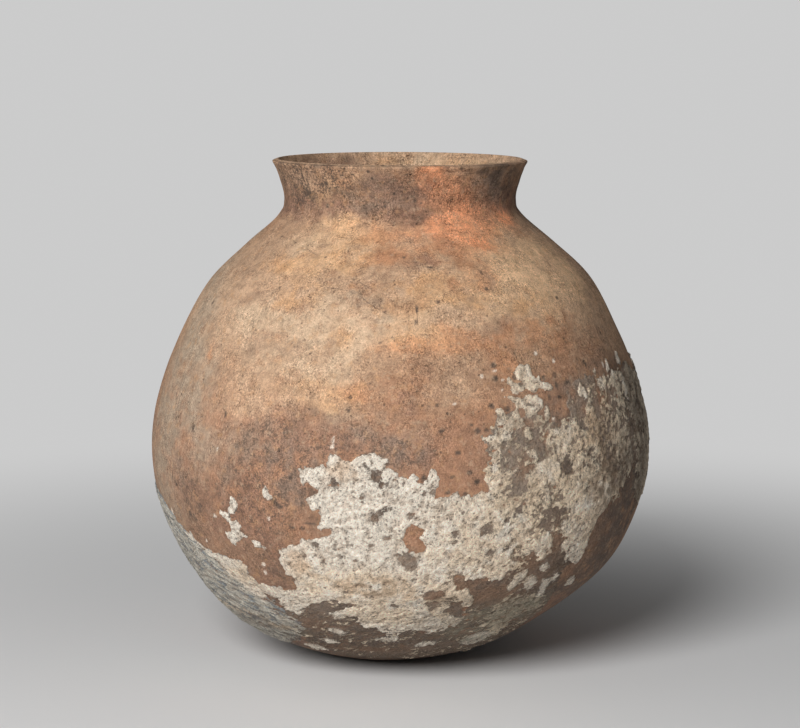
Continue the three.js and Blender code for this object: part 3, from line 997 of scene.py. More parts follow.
RIGHT_STRIP = [
    (612, 483), (613, 492), (608, 505), (600, 517), (593, 530), (588, 543), (583, 556), (576, 564),
    (566, 560), (562, 548), (566, 538), (560, 533), (562, 525), (568, 515), (566, 508), (574, 500),
    (580, 492), (592, 484), (600, 478),
]
FRONT_SHEETS = [
    MAIN_SHEET, UPPER_PIECE, UPPER_TAIL, UPPER_DROP, LEFT_BAND, LEFT_BAND_HEAD, RIGHT_BAND, MIDDLE_PIECE,
    MIDDLE_LIME, MIDDLE_LIME_FOOT, LOWER_BANK, STRIP_HEAD, RIGHT_STRIP, *FIELD_BITS,
]
print(len(FRONT_SHEETS), "sheets lie on the front")

# %% [markdown]
# ## Under the right side
#
# Where the wall turns under, only scraps are left: three small sheets, bits of them, a tongue,
# streaks where water ran, and a greenish film.

# %% Under the right side
UNDER_RIGHT = [
    (507, 588), (513, 579), (520, 572), (527, 570), (529, 574), (521, 581), (514, 588), (509, 591),
]
UNDER_RIGHT_MIDDLE = [(523, 589), (527, 578), (533, 575), (537, 578), (534, 587), (528, 591)]
UNDER_RIGHT_END = [(536, 597), (540, 586), (543, 579), (549, 579), (547, 587), (542, 596)]
UNDER_BITS = [
    [(541, 566), (547, 563), (551, 566), (546, 570), (541, 571)],
    [(551, 580), (555, 574), (559, 572), (558, 577), (554, 581)],
    [(564, 586), (568, 580), (574, 575), (575, 579), (570, 585)],
]
UNDER_TONGUE = [(459, 641), (468, 637), (482, 632), (497, 630), (490, 636), (476, 643), (464, 645)]
GREEN_FILM = [
    (480, 624), (488, 612), (500, 600), (512, 592), (528, 592), (536, 598), (544, 601), (540, 607),
    (526, 610), (512, 621), (498, 632), (486, 634),
]
LOW_STREAKS = [
    [(328, 629), (337, 628), (348, 633), (343, 635), (334, 633)],
    [(318, 639), (328, 638), (340, 643), (330, 643)],
    [(375, 640), (386, 637), (398, 637), (397, 641), (385, 642)],
    [(414, 647), (420, 643), (436, 641), (434, 644), (424, 646)],
    [(304, 644), (318, 645), (330, 650), (316, 649)],
    [(328, 614), (336, 613), (346, 618), (338, 619)],
]
UNDER_SHEETS = [
    UNDER_RIGHT, UNDER_RIGHT_MIDDLE, UNDER_RIGHT_END, *UNDER_BITS, UNDER_TONGUE, *LOW_STREAKS,
]
print(len(UNDER_SHEETS), "sheets lie under the right side")

# %% [markdown]
# ## The strip on the left, and the flakes
#
# A strip runs down the left side to the large sheet. The flakes are small sheets on their own,
# which is how such crust looks shortly before the last of it drops off.

# %% The strip and the flakes
STRIP_LEFT = [
    (185, 533), (190, 532), (194, 539), (203, 546), (210, 549), (213, 553), (225, 556), (231, 560),
    (240, 561), (247, 566), (248, 575), (254, 580), (258, 584), (266, 585), (272, 586), (282, 588),
    (281, 598), (270, 597), (263, 601), (258, 598), (249, 592), (243, 585), (235, 580), (226, 570),
    (219, 562), (210, 556), (203, 548),
]
LONG_FLAKE = [
    (219, 510), (228, 515), (231, 521), (236, 520), (240, 526), (241, 532), (247, 538), (243, 539),
    (236, 541), (236, 547), (232, 545), (228, 539), (226, 533), (231, 531), (229, 524), (222, 517),
]
LONG_FLAKE_HEAD = [(230, 496), (235, 500), (238, 506), (236, 512), (232, 515), (227, 512), (228, 505)]
UPPER_FLAKE = [(264, 486), (269, 490), (269, 494), (273, 498), (268, 501), (264, 500), (261, 495)]
LOWER_FLAKE = [(249, 540), (258, 543), (266, 549), (257, 548)]
RIGHT_FLAKE = [
    (579, 382), (583, 386), (586, 391), (589, 395), (586, 399), (583, 401), (580, 398), (577, 394),
    (575, 389), (578, 388),
]
print("the long flake is %.0f mm long" % np.ptp(on_wall(LONG_FLAKE)[:, 1]))

# %% [markdown]
# ## Broken ground
#
# Between and below the sheets the crust has crumbled. There is no edge to follow, only ground with
# more or less lime left on it. These outlines say where such ground lies.

# %% Broken ground
RIGHT_MASS = [
    (500, 414), (512, 409), (522, 418), (536, 412), (548, 420), (560, 424), (577, 420), (579, 440),
    (582, 462), (584, 482), (578, 500), (568, 516), (560, 545), (572, 562), (556, 566), (538, 566),
    (520, 574), (490, 584), (511, 556), (500, 520), (490, 494), (484, 480), (490, 462), (484, 438),
]
UPPER_FIELD = [
    (568, 385), (575, 379), (584, 376), (594, 374), (598, 384), (594, 400), (592, 418), (578, 424),
    (570, 420), (567, 400),
]
RIGHT_FIELD = [
    (590, 384), (602, 376), (614, 370), (624, 372), (632, 388), (638, 420), (636, 455), (626, 482),
    (610, 502), (590, 512), (572, 500), (562, 488), (568, 466), (570, 440), (574, 412), (584, 398),
]
UNDER_FIELD = [
    (452, 578), (470, 578), (492, 582), (510, 572), (520, 560), (536, 556), (552, 546), (568, 548),
    (574, 560), (562, 572), (558, 584), (550, 600), (532, 618), (500, 638), (470, 651), (452, 653),
    (440, 640), (460, 622), (470, 604), (460, 592),
]
UNDER_SHEET = [
    (280, 604), (300, 610), (312, 601), (330, 598), (352, 602), (362, 620), (380, 630), (400, 628),
    (430, 630), (456, 626), (462, 652), (430, 657), (390, 659), (350, 656), (318, 648), (296, 634),
]
print("the broken ground on the right reaches %.0f degrees round" % (
    math.degrees(on_wall(RIGHT_FIELD)[:, 0].max())))

# %% [markdown]
# ## Bare ground, spots and a hole
#
# Inside the sheets there are bare patches with earth in them, and round spots where a grain of sand
# or a bubble took the lime off. The list of bare earth does the same for the broken ground, with
# soft patches. In one place, near the middle, a hole goes down to the clay.

# %% Bare ground, spots and a hole
BARE_PATCHES = [
    [
        (421, 592), (432, 591), (441, 589), (447, 594), (441, 597), (436, 600), (431, 599), (426, 601),
        (422, 597),
    ],
    [
        (452, 602), (460, 602), (466, 607), (467, 614), (461, 618), (455, 617), (449, 615), (443, 611),
        (449, 607),
    ],
    [(397, 556), (404, 552), (412, 554), (419, 556), (417, 564), (413, 571), (404, 571), (398, 565)],
    [(453, 576), (460, 574), (466, 579), (464, 586), (457, 584)],
    [(426, 603), (434, 602), (438, 606), (433, 610), (427, 608)],
    [(266, 594), (272, 598), (278, 601), (281, 608), (273, 607), (268, 602)],
]
BARE_EARTH = [
    (524, 437, 16, 12), (536, 449, 10, 10), (512, 458, 7, 8), (524, 466, 8, 8), (514, 487, 7, 6),
    (556, 508, 7, 5), (553, 524, 6, 7), (598, 398, 8, 12), (580, 414, 7, 8), (612, 398, 5, 12),
    (568, 466, 3.5, 5), (558, 545, 6, 12), (632, 430, 5, 40), (538, 558, 12, 8), (490, 594, 30, 10),
    (560, 566, 12, 8),
]
SPOTS_IN_CRUST = [
    (333, 484, 3.2), (376, 477, 3.4), (382, 484, 2.0), (370, 475, 1.2), (387, 485, 1.4), (371, 487, 1.1),
    (319, 474, 0.9), (320, 486, 1.0), (372, 462, 0.9), (365, 466, 1.0), (375, 517, 2.6), (380, 513, 1.6),
    (387, 510, 2.0), (411, 515, 2.0), (416, 519, 1.2), (403, 512, 1.0), (345, 531, 1.6), (329, 533, 1.5),
    (316, 545, 2.6), (324, 563, 1.8), (345, 592, 2.2), (341, 556, 1.1), (356, 561, 1.2), (305, 556, 1.0),
    (361, 497, 1.4), (359, 482, 1.4), (362, 503, 0.9), (364, 542, 1.4), (370, 546, 1.4), (388, 538, 1.6),
    (414, 582, 1.4), (395, 606, 1.8), (455, 533, 1.6), (463, 513, 1.2), (476, 517, 1.1), (484, 530, 1.6),
    (393, 480, 1.2), (455, 536, 1.4), (434, 493, 1.0), (423, 495, 1.0), (456, 541, 1.6), (335, 545, 1.1),
    (444, 622, 1.3), (428, 583, 1.1), (448, 582, 1.5), (374, 617, 1.0), (494, 552, 1.8), (521, 383, 1.7),
    (507, 442, 1.4), (498, 432, 1.0), (516, 420, 0.9), (529, 404, 2.2), (560, 510, 4.2), (549, 506, 1.6),
    (566, 514, 2.4), (586, 491, 2.6), (558, 529, 3.0), (536, 533, 2.6), (487, 531, 3.6), (507, 547, 2.4),
    (520, 508, 2.8), (513, 541, 1.8), (517, 552, 3.6), (489, 554, 2.0), (559, 437, 1.2), (565, 437, 1.0),
    (505, 445, 1.6), (566, 512, 3.0), (523, 397, 2.0),
]
CLAY_ISLAND = [
    (406, 528), (412, 525), (419, 526), (426, 531), (420, 538), (424, 544), (425, 550), (418, 554),
    (411, 552), (405, 546), (404, 537),
]
print(len(BARE_PATCHES), "bare patches and", len(SPOTS_IN_CRUST), "spots")

# %% [markdown]
# ## The hidden side
#
# The photograph shows the weathered strip at the left, and the crust at the right, only edge on.
# How they go on is guessed. The strip's outline is given in degrees round the jar and travel. The
# three others are drawn as someone would see them who stands on that side: millimetres to the
# right and up.

# %% The hidden side
WEATHERED_GROUND = [
    (-72, 196), (-66, 190), (-62, 181), (-58, 175), (-52, 166), (-46, 156), (-41, 145), (-36, 138),
    (-29, 128), (-26, 114), (-34, 96), (-45, 84), (-60, 80), (-76, 92), (-92, 118), (-104, 150),
    (-104, 178), (-92, 196), (-80, 200),
]
RIGHT_SIDE = [
    (-52, 164), (-40, 176), (-24, 180), (-8, 170), (14, 178), (28, 150), (50, 141), (44, 112), (20, 97),
    (-6, 104), (-26, 93), (-50, 112), (-44, 146),
]
RIGHT_BACK = [
    (-46, 118), (-30, 132), (-14, 126), (8, 134), (28, 112), (22, 88), (42, 66), (18, 48), (-14, 56),
    (-40, 46), (-54, 66), (-42, 92),
]
BACK_LEFT = [(-44, 88), (-20, 103), (10, 90), (36, 97), (52, 72), (30, 50), (-6, 42), (-40, 52)]


def seen_from(degrees, outline):
    """Places of an outline (sideways to the right, height) seen by a viewer that many degrees round."""
    across, up = np.array(outline, float).T
    wall = np.interp(up, fine_points[:, 1], fine_points[:, 0])
    rounds = math.radians(degrees) + np.arcsin(across / wall)
    return np.stack([rounds, np.interp(up, fine_points[:, 1], fine_travel)], 1)


def round_and_up(outline):
    """Places of an outline given in degrees round the jar and travel."""
    return np.array([(math.radians(degrees), travel) for degrees, travel in outline])


weathered_end = round_and_up(WEATHERED_GROUND)[:, 0].min()
print("the weathered strip ends %.0f degrees round" % math.degrees(weathered_end))

# %% [markdown]
# ## Lime and earth
#
# Two things lie on the clay: the lime itself, and a film of earth that reaches a little past it, like
# a halo. The halo is partly earth and partly painted shade, a darker outline along the crust's thick
# edge. For each of them a vertex gets a depth, in millimetres inside its edge and negative outside.
# Whole sheets are lime all over, but for the spots and the bare patches. On broken ground noise
# decides which crumbs of lime stand: the barer it is, the fewer they are, and its outer edge may
# wander. Holes go down to the clay. Noise of three sizes makes every edge ragged.

# %% Lime and earth
DEEP = 9.0
EARTH_AND_SHADE_HALO, EARTH_AND_SHADE_HALO_VARIES_BY = -0.2, 2.2
SHEET_RAGGEDNESS, SPOT_RAGGEDNESS, BARE_RAGGEDNESS, HOLE_RAGGEDNESS = 1.3, 1.7, 2.0, 1.2
BARER_ON_EARTH = 2.6
EDGE_NOISE = ((1.1, 5.0, 11), (0.9, 2.2, 12), (0.5, 1.3, 15))
WANDER_NOISE = ((1.0, 18.0, 17), (0.5, 6.0, 18))
COARSE_CRUMBS, FINE_CRUMBS, FINER_BY, CRUMB_RAGGEDNESS = 3.4, 3.0, 2.6, 1.5


def crust_depths(points, places, sheets, broken, bare, holes):
    """How far inside the lime and the earth each vertex is, in millimetres, and how broken the lime is."""
    ragged = layered_noise(points, EDGE_NOISE)
    whole, crumbled, earth = (np.full(len(points), -DEEP) for _ in range(3))
    # The halo of earth past a sheet's edge is partly painted shade: it darkens the clay along that edge.
    earth_and_shade_halo = EARTH_AND_SHADE_HALO + EARTH_AND_SHADE_HALO_VARIES_BY * noise_at(points, 8.0, 16)
    for outline in sheets:
        inside = np.clip(inside_by(places, outline), -DEEP, DEEP)
        whole = np.maximum(whole, inside + SHEET_RAGGEDNESS * ragged)
        earth = np.maximum(earth, inside + earth_and_shade_halo + ragged)
    for outline, bareness, size, wander in broken:
        inside = inside_by(places, outline) + wander * layered_noise(points, WANDER_NOISE)
        crumbs = layered_noise(points, [(COARSE_CRUMBS, size, 13), (FINE_CRUMBS, size / FINER_BY, 14)])
        crumbs += CRUMB_RAGGEDNESS * ragged
        crumbs -= bareness + BARER_ON_EARTH * patches_cover(places, BARE_EARTH)
        crumbled = np.maximum(crumbled, np.minimum(inside / 2.0, 2.0) + crumbs)
        earth = np.maximum(earth, np.minimum(inside, 4.0) + 2.0 * ragged)
    for u, v, radius in SPOTS_IN_CRUST:
        around, along = place_seen_at(u, v)
        away = np.hypot((places[:, 0] - around) * wall_radius(along), places[:, 1] - along)
        whole = np.minimum(whole, away - radius + SPOT_RAGGEDNESS * ragged)
    for outline in bare:
        whole = np.minimum(whole, BARE_RAGGEDNESS * ragged - inside_by(places, outline))
    for outline in holes:
        hole = HOLE_RAGGEDNESS * ragged - inside_by(places, outline)
        whole, crumbled, earth = (np.minimum(depth, hole) for depth in (whole, crumbled, earth))
    return np.maximum(whole, crumbled), earth, smooth(crumbled - whole, -1.0, 1.0)


lime_depth, *_ = crust_depths(np.zeros((1, 3)), on_wall([(350, 520)]), [main_places], [], [], [])
print("the lime is %.1f mm inside its edge at column 350 and row 520" % lime_depth[0])

# %% [markdown]
# ## The colours of lime and earth
#
# Lime and earth are each painted over the whole piece, in the same way as the clay, and the
# material shows one or the other. So the edge between them can be finer than the mesh. A third list
# says where more dirt has got into the lime.

# %% The colours of lime and earth
CRUST_STAINS = [
    # Ivory is partly the lime's own colour and partly painted light: on the low crust, which faces down, it
    # makes the lime lighter than the lamp leaves it.
    ("ivory", 0.7, 0.5, [
        (480, 548, 34, 26), (562, 450, 40, 50), (525, 535, 30, 24), (505, 450, 20, 36), (525, 380, 20, 20),
        (385, 588, 30, 10), (400, 608, 50, 18), (320, 580, 20, 12), (450, 600, 20, 14), (500, 560, 16, 10),
        (250, 575, 20, 10), (590, 510, 20, 30), (604, 440, 14, 40), (235, 608, 24, 4), (282, 627, 9, 3),
    ]),
    ("sand", 0.45, 0.7, [
        (378, 588, 22, 7), (362, 590, 8, 5), (430, 598, 14, 4), (345, 470, 8, 6), (300, 560, 12, 8),
        (600, 440, 14, 30),
    ]),
    ("ash", 0.35, 0.6, [(528, 436, 20, 16), (520, 490, 12, 6), (500, 520, 8, 5), (545, 465, 12, 8)]),
    ("smoke", 0.45, 0.9, [(440, 600, 12, 5), (380, 590, 14, 7), (606, 446, 8, 24)]),
    ("umber", 0.45, 0.6, [(262, 622, 20, 10)]),
    # Painted shade: this umber darkens the crust along the right edge, where the light falls off.
    ("umber", 0.65, 0.5, [(640, 430, 12, 80)]),
    ("umber", 0.6, 0.8, [(612, 478, 14, 22), (626, 450, 10, 12), (640, 402, 9, 14), (592, 478, 7, 8)]),
    ("lichen", 0.7, 0.4, [(508, 612, 28, 14), (478, 638, 20, 6), (190, 572, 6, 16)]),
]
EARTH_STAINS = [
    ("brown", 0.8, 0.4, [
        (528, 466, 6, 7), (490, 594, 28, 10), (532, 562, 16, 10), (556, 540, 8, 20), (470, 584, 12, 6),
        (312, 624, 12, 8), (340, 648, 40, 5), (433, 597, 12, 5),
    ]),
    ("terracotta", 0.8, 0.4, [
        (527, 425, 5, 3), (546, 438, 4, 4), (586, 407, 4, 5), (601, 394, 6, 9), (617, 393, 4, 9),
        (572, 392, 3, 6),
    ]),
    ("lichen", 0.8, 0.5, [
        (505, 614, 26, 12), (470, 630, 16, 8), (190, 572, 8, 20), (222, 606, 14, 8), (256, 628, 20, 8),
        (290, 632, 14, 6),
    ]),
    ("umber", 0.9, 0.2, [
        (376, 479, 9, 7), (380, 514, 9, 6), (333, 484, 6, 5), (345, 531, 6, 4), (388, 486, 5, 5),
    ]),
    ("soot", 0.6, 0.4, [
        (320, 640, 30, 10), (644, 430, 18, 70), (563, 562, 7, 6), (560, 510, 7, 5), (567, 466, 6, 8),
        (274, 602, 5, 4),
    ]),
    ("umber", 0.5, 0.5, [
        (350, 625, 34, 10), (330, 644, 30, 6), (410, 640, 40, 6), (600, 464, 8, 10), (455, 613, 8, 6),
        (320, 640, 24, 10), (262, 622, 20, 10),
    ]),
]
EARTHY = [
    (568, 466, 4, 6), (588, 560, 14, 14), (446, 602, 7, 5), (608, 428, 6, 4), (604, 445, 5, 6),
    (597, 461, 5, 6), (620, 467, 4, 7), (632, 425, 4, 8), (620, 410, 4, 5), (580, 434, 3, 6),
    (590, 452, 4, 4), (612, 450, 4, 5), (544, 500, 4, 4), (536, 508, 4, 4), (565, 524, 4, 6),
]
CRUST_DRIFT = ((1.0, 10.0, 61), (0.7, 4.0, 62))
EARTH_VARIES_BY = 0.3


def crust_colors(points, places, broken, lime, worn, earth):
    """The colours of the lime and of the earth at each vertex, whether or not they show there."""
    drift = layered_noise(points, CRUST_DRIFT)
    limes = PALETTE[lime] + (PALETTE[worn] - PALETTE[lime]) * broken[:, None]
    earths = np.tile(PALETTE[earth], (len(points), 1)) * (1.0 + EARTH_VARIES_BY * drift)[:, None]

    def stained(colors, stains):
        for name, amount, ragged, spots in stains:
            stain = broken_up(patches_cover(places, spots), ragged, drift)
            colors = mixed(colors, PALETTE[name], amount * stain)
        return colors

    return stained(limes, CRUST_STAINS), stained(earths, EARTH_STAINS)


print("the lime has", len(CRUST_STAINS), "stains and the earth", len(EARTH_STAINS))

# %% [markdown]
# ## Growing the crust
#
# Each piece starts as a finely spun patch of the wall. Where lime lies it rises about a millimetre
# off the clay, with crumbs on it that are coarser low down, and where only earth lies it rises
# less. Outside both it sinks just under the clay, so its edge is the line where the two surfaces
# cross. What lies well outside is deleted, and the rest gets a thickness towards the clay, which
# closes it.
#
# Low down, the crust lies in ridges that run round the jar and lean to one side. For them, noise is
# read at places that are moved on faster up the wall: ridges says how much faster, lean tilts the
# ridges, and coarse makes everything in them larger.

# %% A patch of crust
CRUST_CELL = 0.8
CRUST_MARGIN = 1.3
CRUST_RISE, EARTH_RISE, CRUST_SINK = 0.75, 0.30, 0.55
MOST_PROUD = 1.5
CRUST_THICKNESS = 0.9
LOW_CRUST, HIGH_CRUST, ROUGHER_LOW_DOWN = 100.0, 160.0, 0.6
EARTH_ROUGHNESS = 0.65
CRUMB_NOISE = ((0.40, 3.6, 21), (0.48, 1.8, 22), (0.26, 7.5, 23))


def wall_patch(name, outlines):
    """A finely spun patch of the wall that reaches a little past some outlines, and its vertices' places."""
    reach = np.concatenate(outlines)
    low, high = reach[:, 1].min() - 2 * CRUST_MARGIN, reach[:, 1].max() + 2 * CRUST_MARGIN
    side = 2 * CRUST_MARGIN / wall_radius(low)
    start, end = reach[:, 0].min() - side, reach[:, 0].max() + side
    profile = [(station, 0.0) for station in even_stations(low, high, CRUST_CELL)]
    slices = max(1, int((end - start) * BELLY_RADIUS / CRUST_CELL / STEPS_IN_A_SLICE))
    data = spun(name, profile, "open", start, (end - start) / slices, slices)
    places = wall_places(data, vertex_points(data))
    places[:, 0] += 2 * math.pi * np.round((reach[:, 0].mean() - places[:, 0]) / (2 * math.pi))
    return data, places


def drawn_out(points, places, ridges, ridged_up_to, lean, coarse):
    """Where noise is read for the crust: moved on faster up the wall, which gives ridges."""
    along = np.minimum(places[:, 1], ridged_up_to) + lean * places[:, 0] * BELLY_RADIUS
    moved = points / coarse
    moved[:, 2] += (ridges - 1.0) * along / coarse
    return moved


def crust_surface(points, places, grain, lime_depth, earth_depth, earth_roughness):
    """How far the crust stands off the true wall at each vertex, and how high it lies among the crumbs."""
    is_lime = smooth(lime_depth, -0.7, 0.7)
    crumbs = layered_noise(grain, CRUMB_NOISE)
    crumbs *= 1.0 + ROUGHER_LOW_DOWN * (1.0 - smooth(places[:, 1], LOW_CRUST, HIGH_CRUST))
    crumbs *= earth_roughness + (1.0 - earth_roughness) * is_lime
    uneven = 0.8 + 0.4 * noise_at(points, 24.0, 24)
    lime_rise = (CRUST_SINK + CRUST_RISE * uneven) * is_lime
    earth_rise = (CRUST_SINK + EARTH_RISE) * smooth(earth_depth, -1.0, 1.5)
    on_crust = smooth(np.maximum(lime_depth, earth_depth), -0.3, 1.0)
    rise = np.maximum(lime_rise, earth_rise) - CRUST_SINK + crumbs * on_crust
    return np.minimum(clay_height(points, places[:, 1]) + rise, MOST_PROUD), crumbs


print("crust stands at most %.1f mm off the wall" % MOST_PROUD)

# %% [markdown]
# ## Closing a piece
#
# The faces well outside the crust are deleted first. Where two parts of a patch then meet at a
# corner alone, thickening would give an edge with four faces, so those corners are opened. Then
# the patch is thickened inwards, and every edge has two faces again.
#
# The finish needs more than the two colours. So each vertex keeps how far it is inside the lime,
# how low it lies among the crumbs, how dirty it is and the drawn-out place where noise is read.

# %% A piece of crust
def without_pinches(mesh):
    """Deletes faces until no two parts of the patch meet at a corner alone."""
    pinched = True
    while pinched:
        pinched = {v.link_faces[0] for v in mesh.verts if sum(edge.is_boundary for edge in v.link_edges) > 2}
        bmesh.ops.delete(mesh, geom=list(pinched), context="FACES")


def thickened(data, outside):
    """Deletes the faces with all their corners outside, and thickens the rest. Returns the open edges."""
    mesh = bmesh.new()
    mesh.from_mesh(data)
    lost = [face for face in mesh.faces if all(outside[vert.index] for vert in face.verts)]
    bmesh.ops.delete(mesh, geom=lost, context="FACES")
    without_pinches(mesh)
    bmesh.ops.solidify(mesh, geom=mesh.faces[:], thickness=CRUST_THICKNESS * MM)
    bmesh.ops.recalc_face_normals(mesh, faces=mesh.faces)
    mesh.to_mesh(data)
    open_edges = sum(not edge.is_manifold for edge in mesh.edges)
    mesh.free()
    return open_edges


def crust_piece(node, sheets=(), broken=(), bare=(), holes=(), lime="lime", worn="chalk", earth="drab",
                dirt=0.15, ridges=1.0, ridged_up_to=200.0, lean=0.0, coarse=1.0,
                earth_roughness=EARTH_ROUGHNESS):
    """A piece of crust from outlines of places: whole sheets, broken ground, bare patches and holes."""
    data, places = wall_patch(node + "_lime", [*sheets, *(outline for outline, *_ in broken)])
    points = vertex_points(data)
    grain = drawn_out(points, places, ridges, ridged_up_to, lean, coarse)
    lime_depth, earth_depth, crumbled = crust_depths(grain, places, sheets, broken, bare, holes)
    height, crumbs = crust_surface(points, places, grain, lime_depth, earth_depth, earth_roughness)
    raise_vertices(data, points, height)
    limes, earths = crust_colors(points, places, crumbled, lime, worn, earth)
    add_colors(data, "tint", limes)
    add_colors(data, "earth", earths)
    data.attributes.new("grain", "FLOAT_VECTOR", "POINT").data.foreach_set("vector", grain.ravel())
    add_numbers(data, "lime", np.clip(lime_depth, -4.0, 4.0))
    # How low a vertex lies among the crumbs, which the material paints as shade.
    add_numbers(data, "hollow", smooth(-crumbs, -0.02, 0.22))
    add_numbers(data, "dirt", dirt + (1.0 - dirt) * patches_cover(places, EARTHY))
    open_edges = thickened(data, np.maximum(lime_depth, earth_depth) < -CRUST_MARGIN)
    data.shade_smooth()
    piece = add_object(node + "_lime", data)
    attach(piece, "root")
    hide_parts(node)
    print(node, "has", len(data.polygons), "faces and", open_edges, "open edges")
    return piece


print("a piece of crust is %.1f mm thick" % CRUST_THICKNESS)

# %% [markdown]
# ## The ten pieces
#
# Each piece of the solid model gets its own ground. The front has all kinds of it. The low left piece
# is old and weathered, slate grey and drawn out into ridges. The flakes are small sheets. What lies
# on the hidden side is broken ground throughout. Broken ground is given as an outline, how bare it
# is, the size of its crumbs and how far its edge wanders.

# %% The ten pieces
LOW_LEFT_LEAN, LOW_RIGHT_LEAN = 0.5, -0.4
RIDGES_END = 150.0


def on_walls(outlines):
    return [on_wall(outline) for outline in outlines]


crust_pieces = [
    crust_piece(
        "lime_crust_front", sheets=on_walls(FRONT_SHEETS),
        broken=[(on_wall(RIGHT_MASS), 1.2, 5.0, 0.0), (on_wall(RIGHT_FIELD), 0.6, 4.2, 1.0),
                (on_wall(UPPER_FIELD), 4.0, 4.2, 1.0)],
        bare=on_walls(BARE_PATCHES), holes=[on_wall(CLAY_ISLAND)],
        earth="loam", ridges=1.7, ridged_up_to=RIDGES_END, lean=LOW_RIGHT_LEAN / 2),
    crust_piece(
        "lime_crust_low_left", sheets=[on_wall(STRIP_LEFT)],
        broken=[(round_and_up(WEATHERED_GROUND), 1.4, 6.0, 3.0)], bare=on_walls(BARE_PATCHES[-1:]),
        worn="fog", earth="slate", dirt=0.1, ridges=4.0, lean=LOW_LEFT_LEAN, coarse=1.6,
        earth_roughness=1.0),
    crust_piece(
        "lime_crust_underside", sheets=on_walls(UNDER_SHEETS),
        broken=[(on_wall(UNDER_FIELD), 3.4, 6.0, 0.0), (on_wall(GREEN_FILM), 0.6, 5.0, 2.0),
                (on_wall(UNDER_SHEET), 4.0, 6.0, 0.0)],
        ridges=1.8, lean=LOW_RIGHT_LEAN),
    crust_piece("lime_flake_long", on_walls([LONG_FLAKE, LONG_FLAKE_HEAD])),
    crust_piece("lime_flake_upper", on_walls([UPPER_FLAKE])),
    crust_piece("lime_flake_lower", on_walls([LOWER_FLAKE])),
    crust_piece("lime_flake_right", on_walls([RIGHT_FLAKE])),
    crust_piece("lime_crust_right_side", broken=[(seen_from(84, RIGHT_SIDE), 0.8, 6.0, 6.0)], dirt=0.5),
    crust_piece("lime_crust_right_back", broken=[(seen_from(138, RIGHT_BACK), 0.4, 8.0, 9.0)], dirt=0.3),
    crust_piece("lime_crust_back_left", broken=[(seen_from(225, BACK_LEFT), 0.4, 8.0, 9.0)], dirt=0.3),
]

# %% [markdown]
# ## Materials as expressions
#
# The paint gives the broad colours. The grain, the specks of soot and the pores are finer than the
# mesh, so the materials add them with procedural noise in the object's own coordinates, counted
# in millimetres. A material is easier to read as arithmetic than as a list of nodes, so a small
# class wraps a socket, and Python's operators add the Math nodes.

# %% Values
class Value:
    """What comes out of a node. Arithmetic on it adds Math nodes."""

    def __init__(self, finish, socket):
        self.finish, self.socket = finish, socket

    def __add__(self, other):
        return self.finish.math("ADD", self, other)

    def __sub__(self, other):
        return self.finish.math("SUBTRACT", self, other)

    def __rsub__(self, other):
        return self.finish.math("SUBTRACT", other, self)

    def __mul__(self, other):
        return self.finish.math("MULTIPLY", self, other)

    def __lt__(self, other):
        return self.finish.math("LESS_THAN", self, other)

    __radd__, __rmul__ = __add__, __mul__


print("values can be added, taken away, multiplied and compared")

# %% [markdown]
# ## Finishes
#
# A finish is a material in the making. Its methods add the nodes that this lesson needs: noise,
# cells, dots in some of the cells, smooth steps, mixtures of colours and a bump. What varies is
# linked to the shader's inputs, and constants are set on them.

# %% Finishes
SMALLEST_DOT = 0.05


